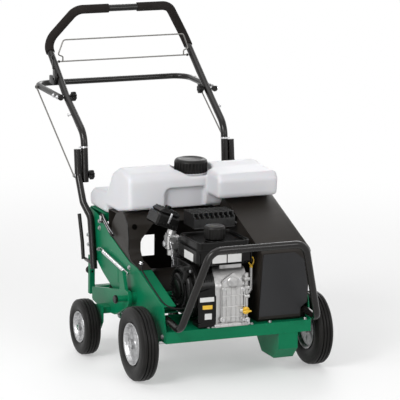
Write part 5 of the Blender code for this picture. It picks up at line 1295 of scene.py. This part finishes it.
# %% Guard cover
GUARD_INNER = 80
GUARD_OUTER = 265.5
GUARD_SHEET = 2
GUARD_BACK = 374
NOSE_LEAN = 20 / 242
TUBE_CUT_FROM = 239
DECK_AND_GAP = 190.3
# Places across the machine, with how far the top edge sinks and the nose turns back there
CORNER_TURN = [(GUARD_INNER, 0, 0), (238.5, 0, 0), (239.3, 0, 0.5), (248, 0, 2.5),
               (256, 0, 3.5), (262, 0.6, 4.5), (GUARD_OUTER, 3, 7)]


def guard_section(x, sink, turn):
    """The cover's side outline at one place, from the nose's foot over the top to the back's foot."""
    foot = [(30, DECK_AND_GAP), (20, 200), (18, 224), (16.2, 246)]
    if x > TUBE_CUT_FROM:
        foot = [(44.5, DECK_AND_GAP), (44.5, 205), (44, 236), (16.2 + turn, 246)]
    crown = [(3 + turn, 405), (1.2 + turn * 0.4, 428)]
    top = [(2.2, 436.5), (10.5, 445), (336, 567.2), (344, 568), (351, 561),
           (GUARD_BACK - 3, 534), (GUARD_BACK, 526)]
    back = [(GUARD_BACK, 330), (268, 270), (268, DECK_AND_GAP)]
    return [(x, y, z) for y, z in foot + crown + [(y, z - sink) for y, z in top] + back]


work = bmesh.new()
sections = [[work.verts.new(p) for p in guard_section(*place)] for place in CORNER_TURN]
for near, outward in zip(sections, sections[1:]):
    for i in range(len(near) - 1):
        work.faces.new((near[i], near[i + 1], outward[i + 1], outward[i]))
work.faces.new(sections[-1])
cover = loose(work)
skin = cover.modifiers.new("Sheet", "SOLIDIFY")
skin.thickness = GUARD_SHEET
skin.offset = 1 if cover.data.polygons[0].normal.y > 0 else -1
inner_wall = plate("YZ", GUARD_INNER, GUARD_INNER + GUARD_SHEET,
                   [p[1:] for p in guard_section(*CORNER_TURN[0])], circle(*CRANK, 18),
                   circle(225, 500, 5.5, 14))
bearings = [ringed([(9.8, 0), (9.8, deep), (16, deep), (18, 2), (18, 0)], 32, (x, *JACKSHAFT), (way, 0, 0))
            for x, way, deep in ((GUARD_INNER + 1.5, 1, 8.5), (GUARD_OUTER - 1.5, -1, 26.2))]
keep([settled(cover), inner_wall, *bearings], "belt_guard_cover", COAT, "chassis", ["belt_guard"], bevel=0.7)
print("belt guard done")

# %% [markdown]
# The guard's nose carries a raised panel with rounded edges that catch light.
# The arch's free edge is rolled, its foot laps over the side plate's flange,
# and a web with one window closes it behind the engine.

# %% Panel, rolled edge, foot and web
nose = Matrix.Identity(4)
nose[1][2] = -NOSE_LEAN
nose[1][3] = 20 + 200 * NOSE_LEAN
panel_line = [(80, 211), (86.5, 433), (205, 433), (240, 406), (258.5, 306), (256, 250), (236.5, 233),
              (232, 211)]
panel = plate("XZ", -4.5, 0.6, corners(panel_line, [3, 8, 20, 24, 20, 10, 4, 3]))
panel.data.transform(nose)
keep(panel, "guard_front_panel", PANEL, bevel=3.5, segments=4)
PLATE_INSIDE = -266.4
FOOT_X = -221.5
rolled = rounded([(FOOT_X, 295.5, 357), (FOOT_X, 343, 364), (FOOT_X, 368, 392), (FOOT_X, 367.2, 428)], 22)
keep(tube(rolled, 1.3, 3), "arch_rolled_edge", COAT)
bead_line = [(292.5, 356.5), (343, 364), (368, 392), (367, 434), (376, 480), (398, 510)]
bead = tube(rounded([(PLATE_INSIDE + 1.2, y, z) for y, z in bead_line], 22), 2.1, 4)
keep(bead, "arch_bead", TUBE)
foot = plate("YZ", PLATE_INSIDE, FOOT_X, [(256, 348.2), (293, 355.2), (293, 357.2), (256, 350)])
keep(foot, "arch_foot", COAT, bevel=0.4)
WEB_Y = 560
window = [(-150, 345), (-141, 324), (-92, 324), (-92, 400), (-150, 400)]
edge = square(PLATE_INSIDE, -PLATE_INSIDE, 270, 504, 4, 30)
keep(plate("XZ", WEB_Y, WEB_Y + 2, edge, window), "arch_web", COAT, bevel=0.4)

# %% [markdown]
# ## Cables
#
# Bowden cables run from the handle to the engine and the clutch. The throttle
# cable is clipped under the right upright. A second, thin one lies on the
# sloping flange of the right side plate and enters the engine's control
# plate. Its ends are held, so both stay where they are.

# %% Cable runs and clips
cable_x = -UPPER_X - 4
upper_line = rounded([(cable_x, 1100, 915.5), (cable_x, 981, 826.5), (cable_x, 813.5, 722.5),
                      (cable_x, 807.5, 650)], 60)
keep(tube(upper_line, 3, 4), "upper_cable", RUBBER, "upper_handle", ["control_cable"])
flange_line = rounded([(-248, 286, 359), (-260, 250, 348.8), (-263, 150, 315.7), (-263, 60, 286.2),
                       (-256, 30, 275), (-230, 20, 265), (-190, 40, 258), (-160, 66, 256)], 25)
keep(tube(flange_line, 2.6, 4), "flange_cable", RUBBER)
CLAMP_Z = 687
UPRIGHT_WAY = (0, 0.087, 0.996)
ties, hooks, nuts, caps = [], [], [], []
for side in (-1, 1):
    inward = (-side, 0, 0)
    ties.append(ringed([(TUBE_R + GAP, -3), (TUBE_R + 1.6, -3), (TUBE_R + 1.6, 3),
                        (TUBE_R + GAP, 3)], 36, (side * UPPER_X, 793.1, CLAMP_Z), UPRIGHT_WAY))
    ties.append(brick(side * (UPPER_X + 13), side * (UPPER_X + 20.5), 790, 796, CLAMP_Z - 2.5,
                      CLAMP_Z + 2.5, 0.8))
    hooks.append(bar((side * (UPPER_X + 11), 895, 787), (side * (UPPER_X + 27.5), 895, 787), 2.5, 12,
                     round_end=0.5))
    hooks.append(brick(side * (UPPER_X + 23.5), side * (UPPER_X + 26.5), 888.5, 901.5, 782, 792, 0.8))
    nuts.append(nut_and_end((side * (LIFT_BAR_X - 8.5), *LIFT_PIVOT), inward, 6.2, 3.5, 0))
    caps.append(lathe([(0, 0), (4.6, 0), (5, 1), (5, 4), (4, 5), (0, 5)], 20, (side * 257.5, *BAIL), inward))
keep(ties, "cable_clips", CHROME, "upper_handle", bevel=0.2)
keep(hooks, "guide_hooks", CHROME, "upper_handle")
keep(nuts, "handle_pivot_nuts", CHROME, "lift_bar", bevel=0.3)
keep(caps, "bail_end_caps", RUBBER, "upper_handle")
print("hardware done")
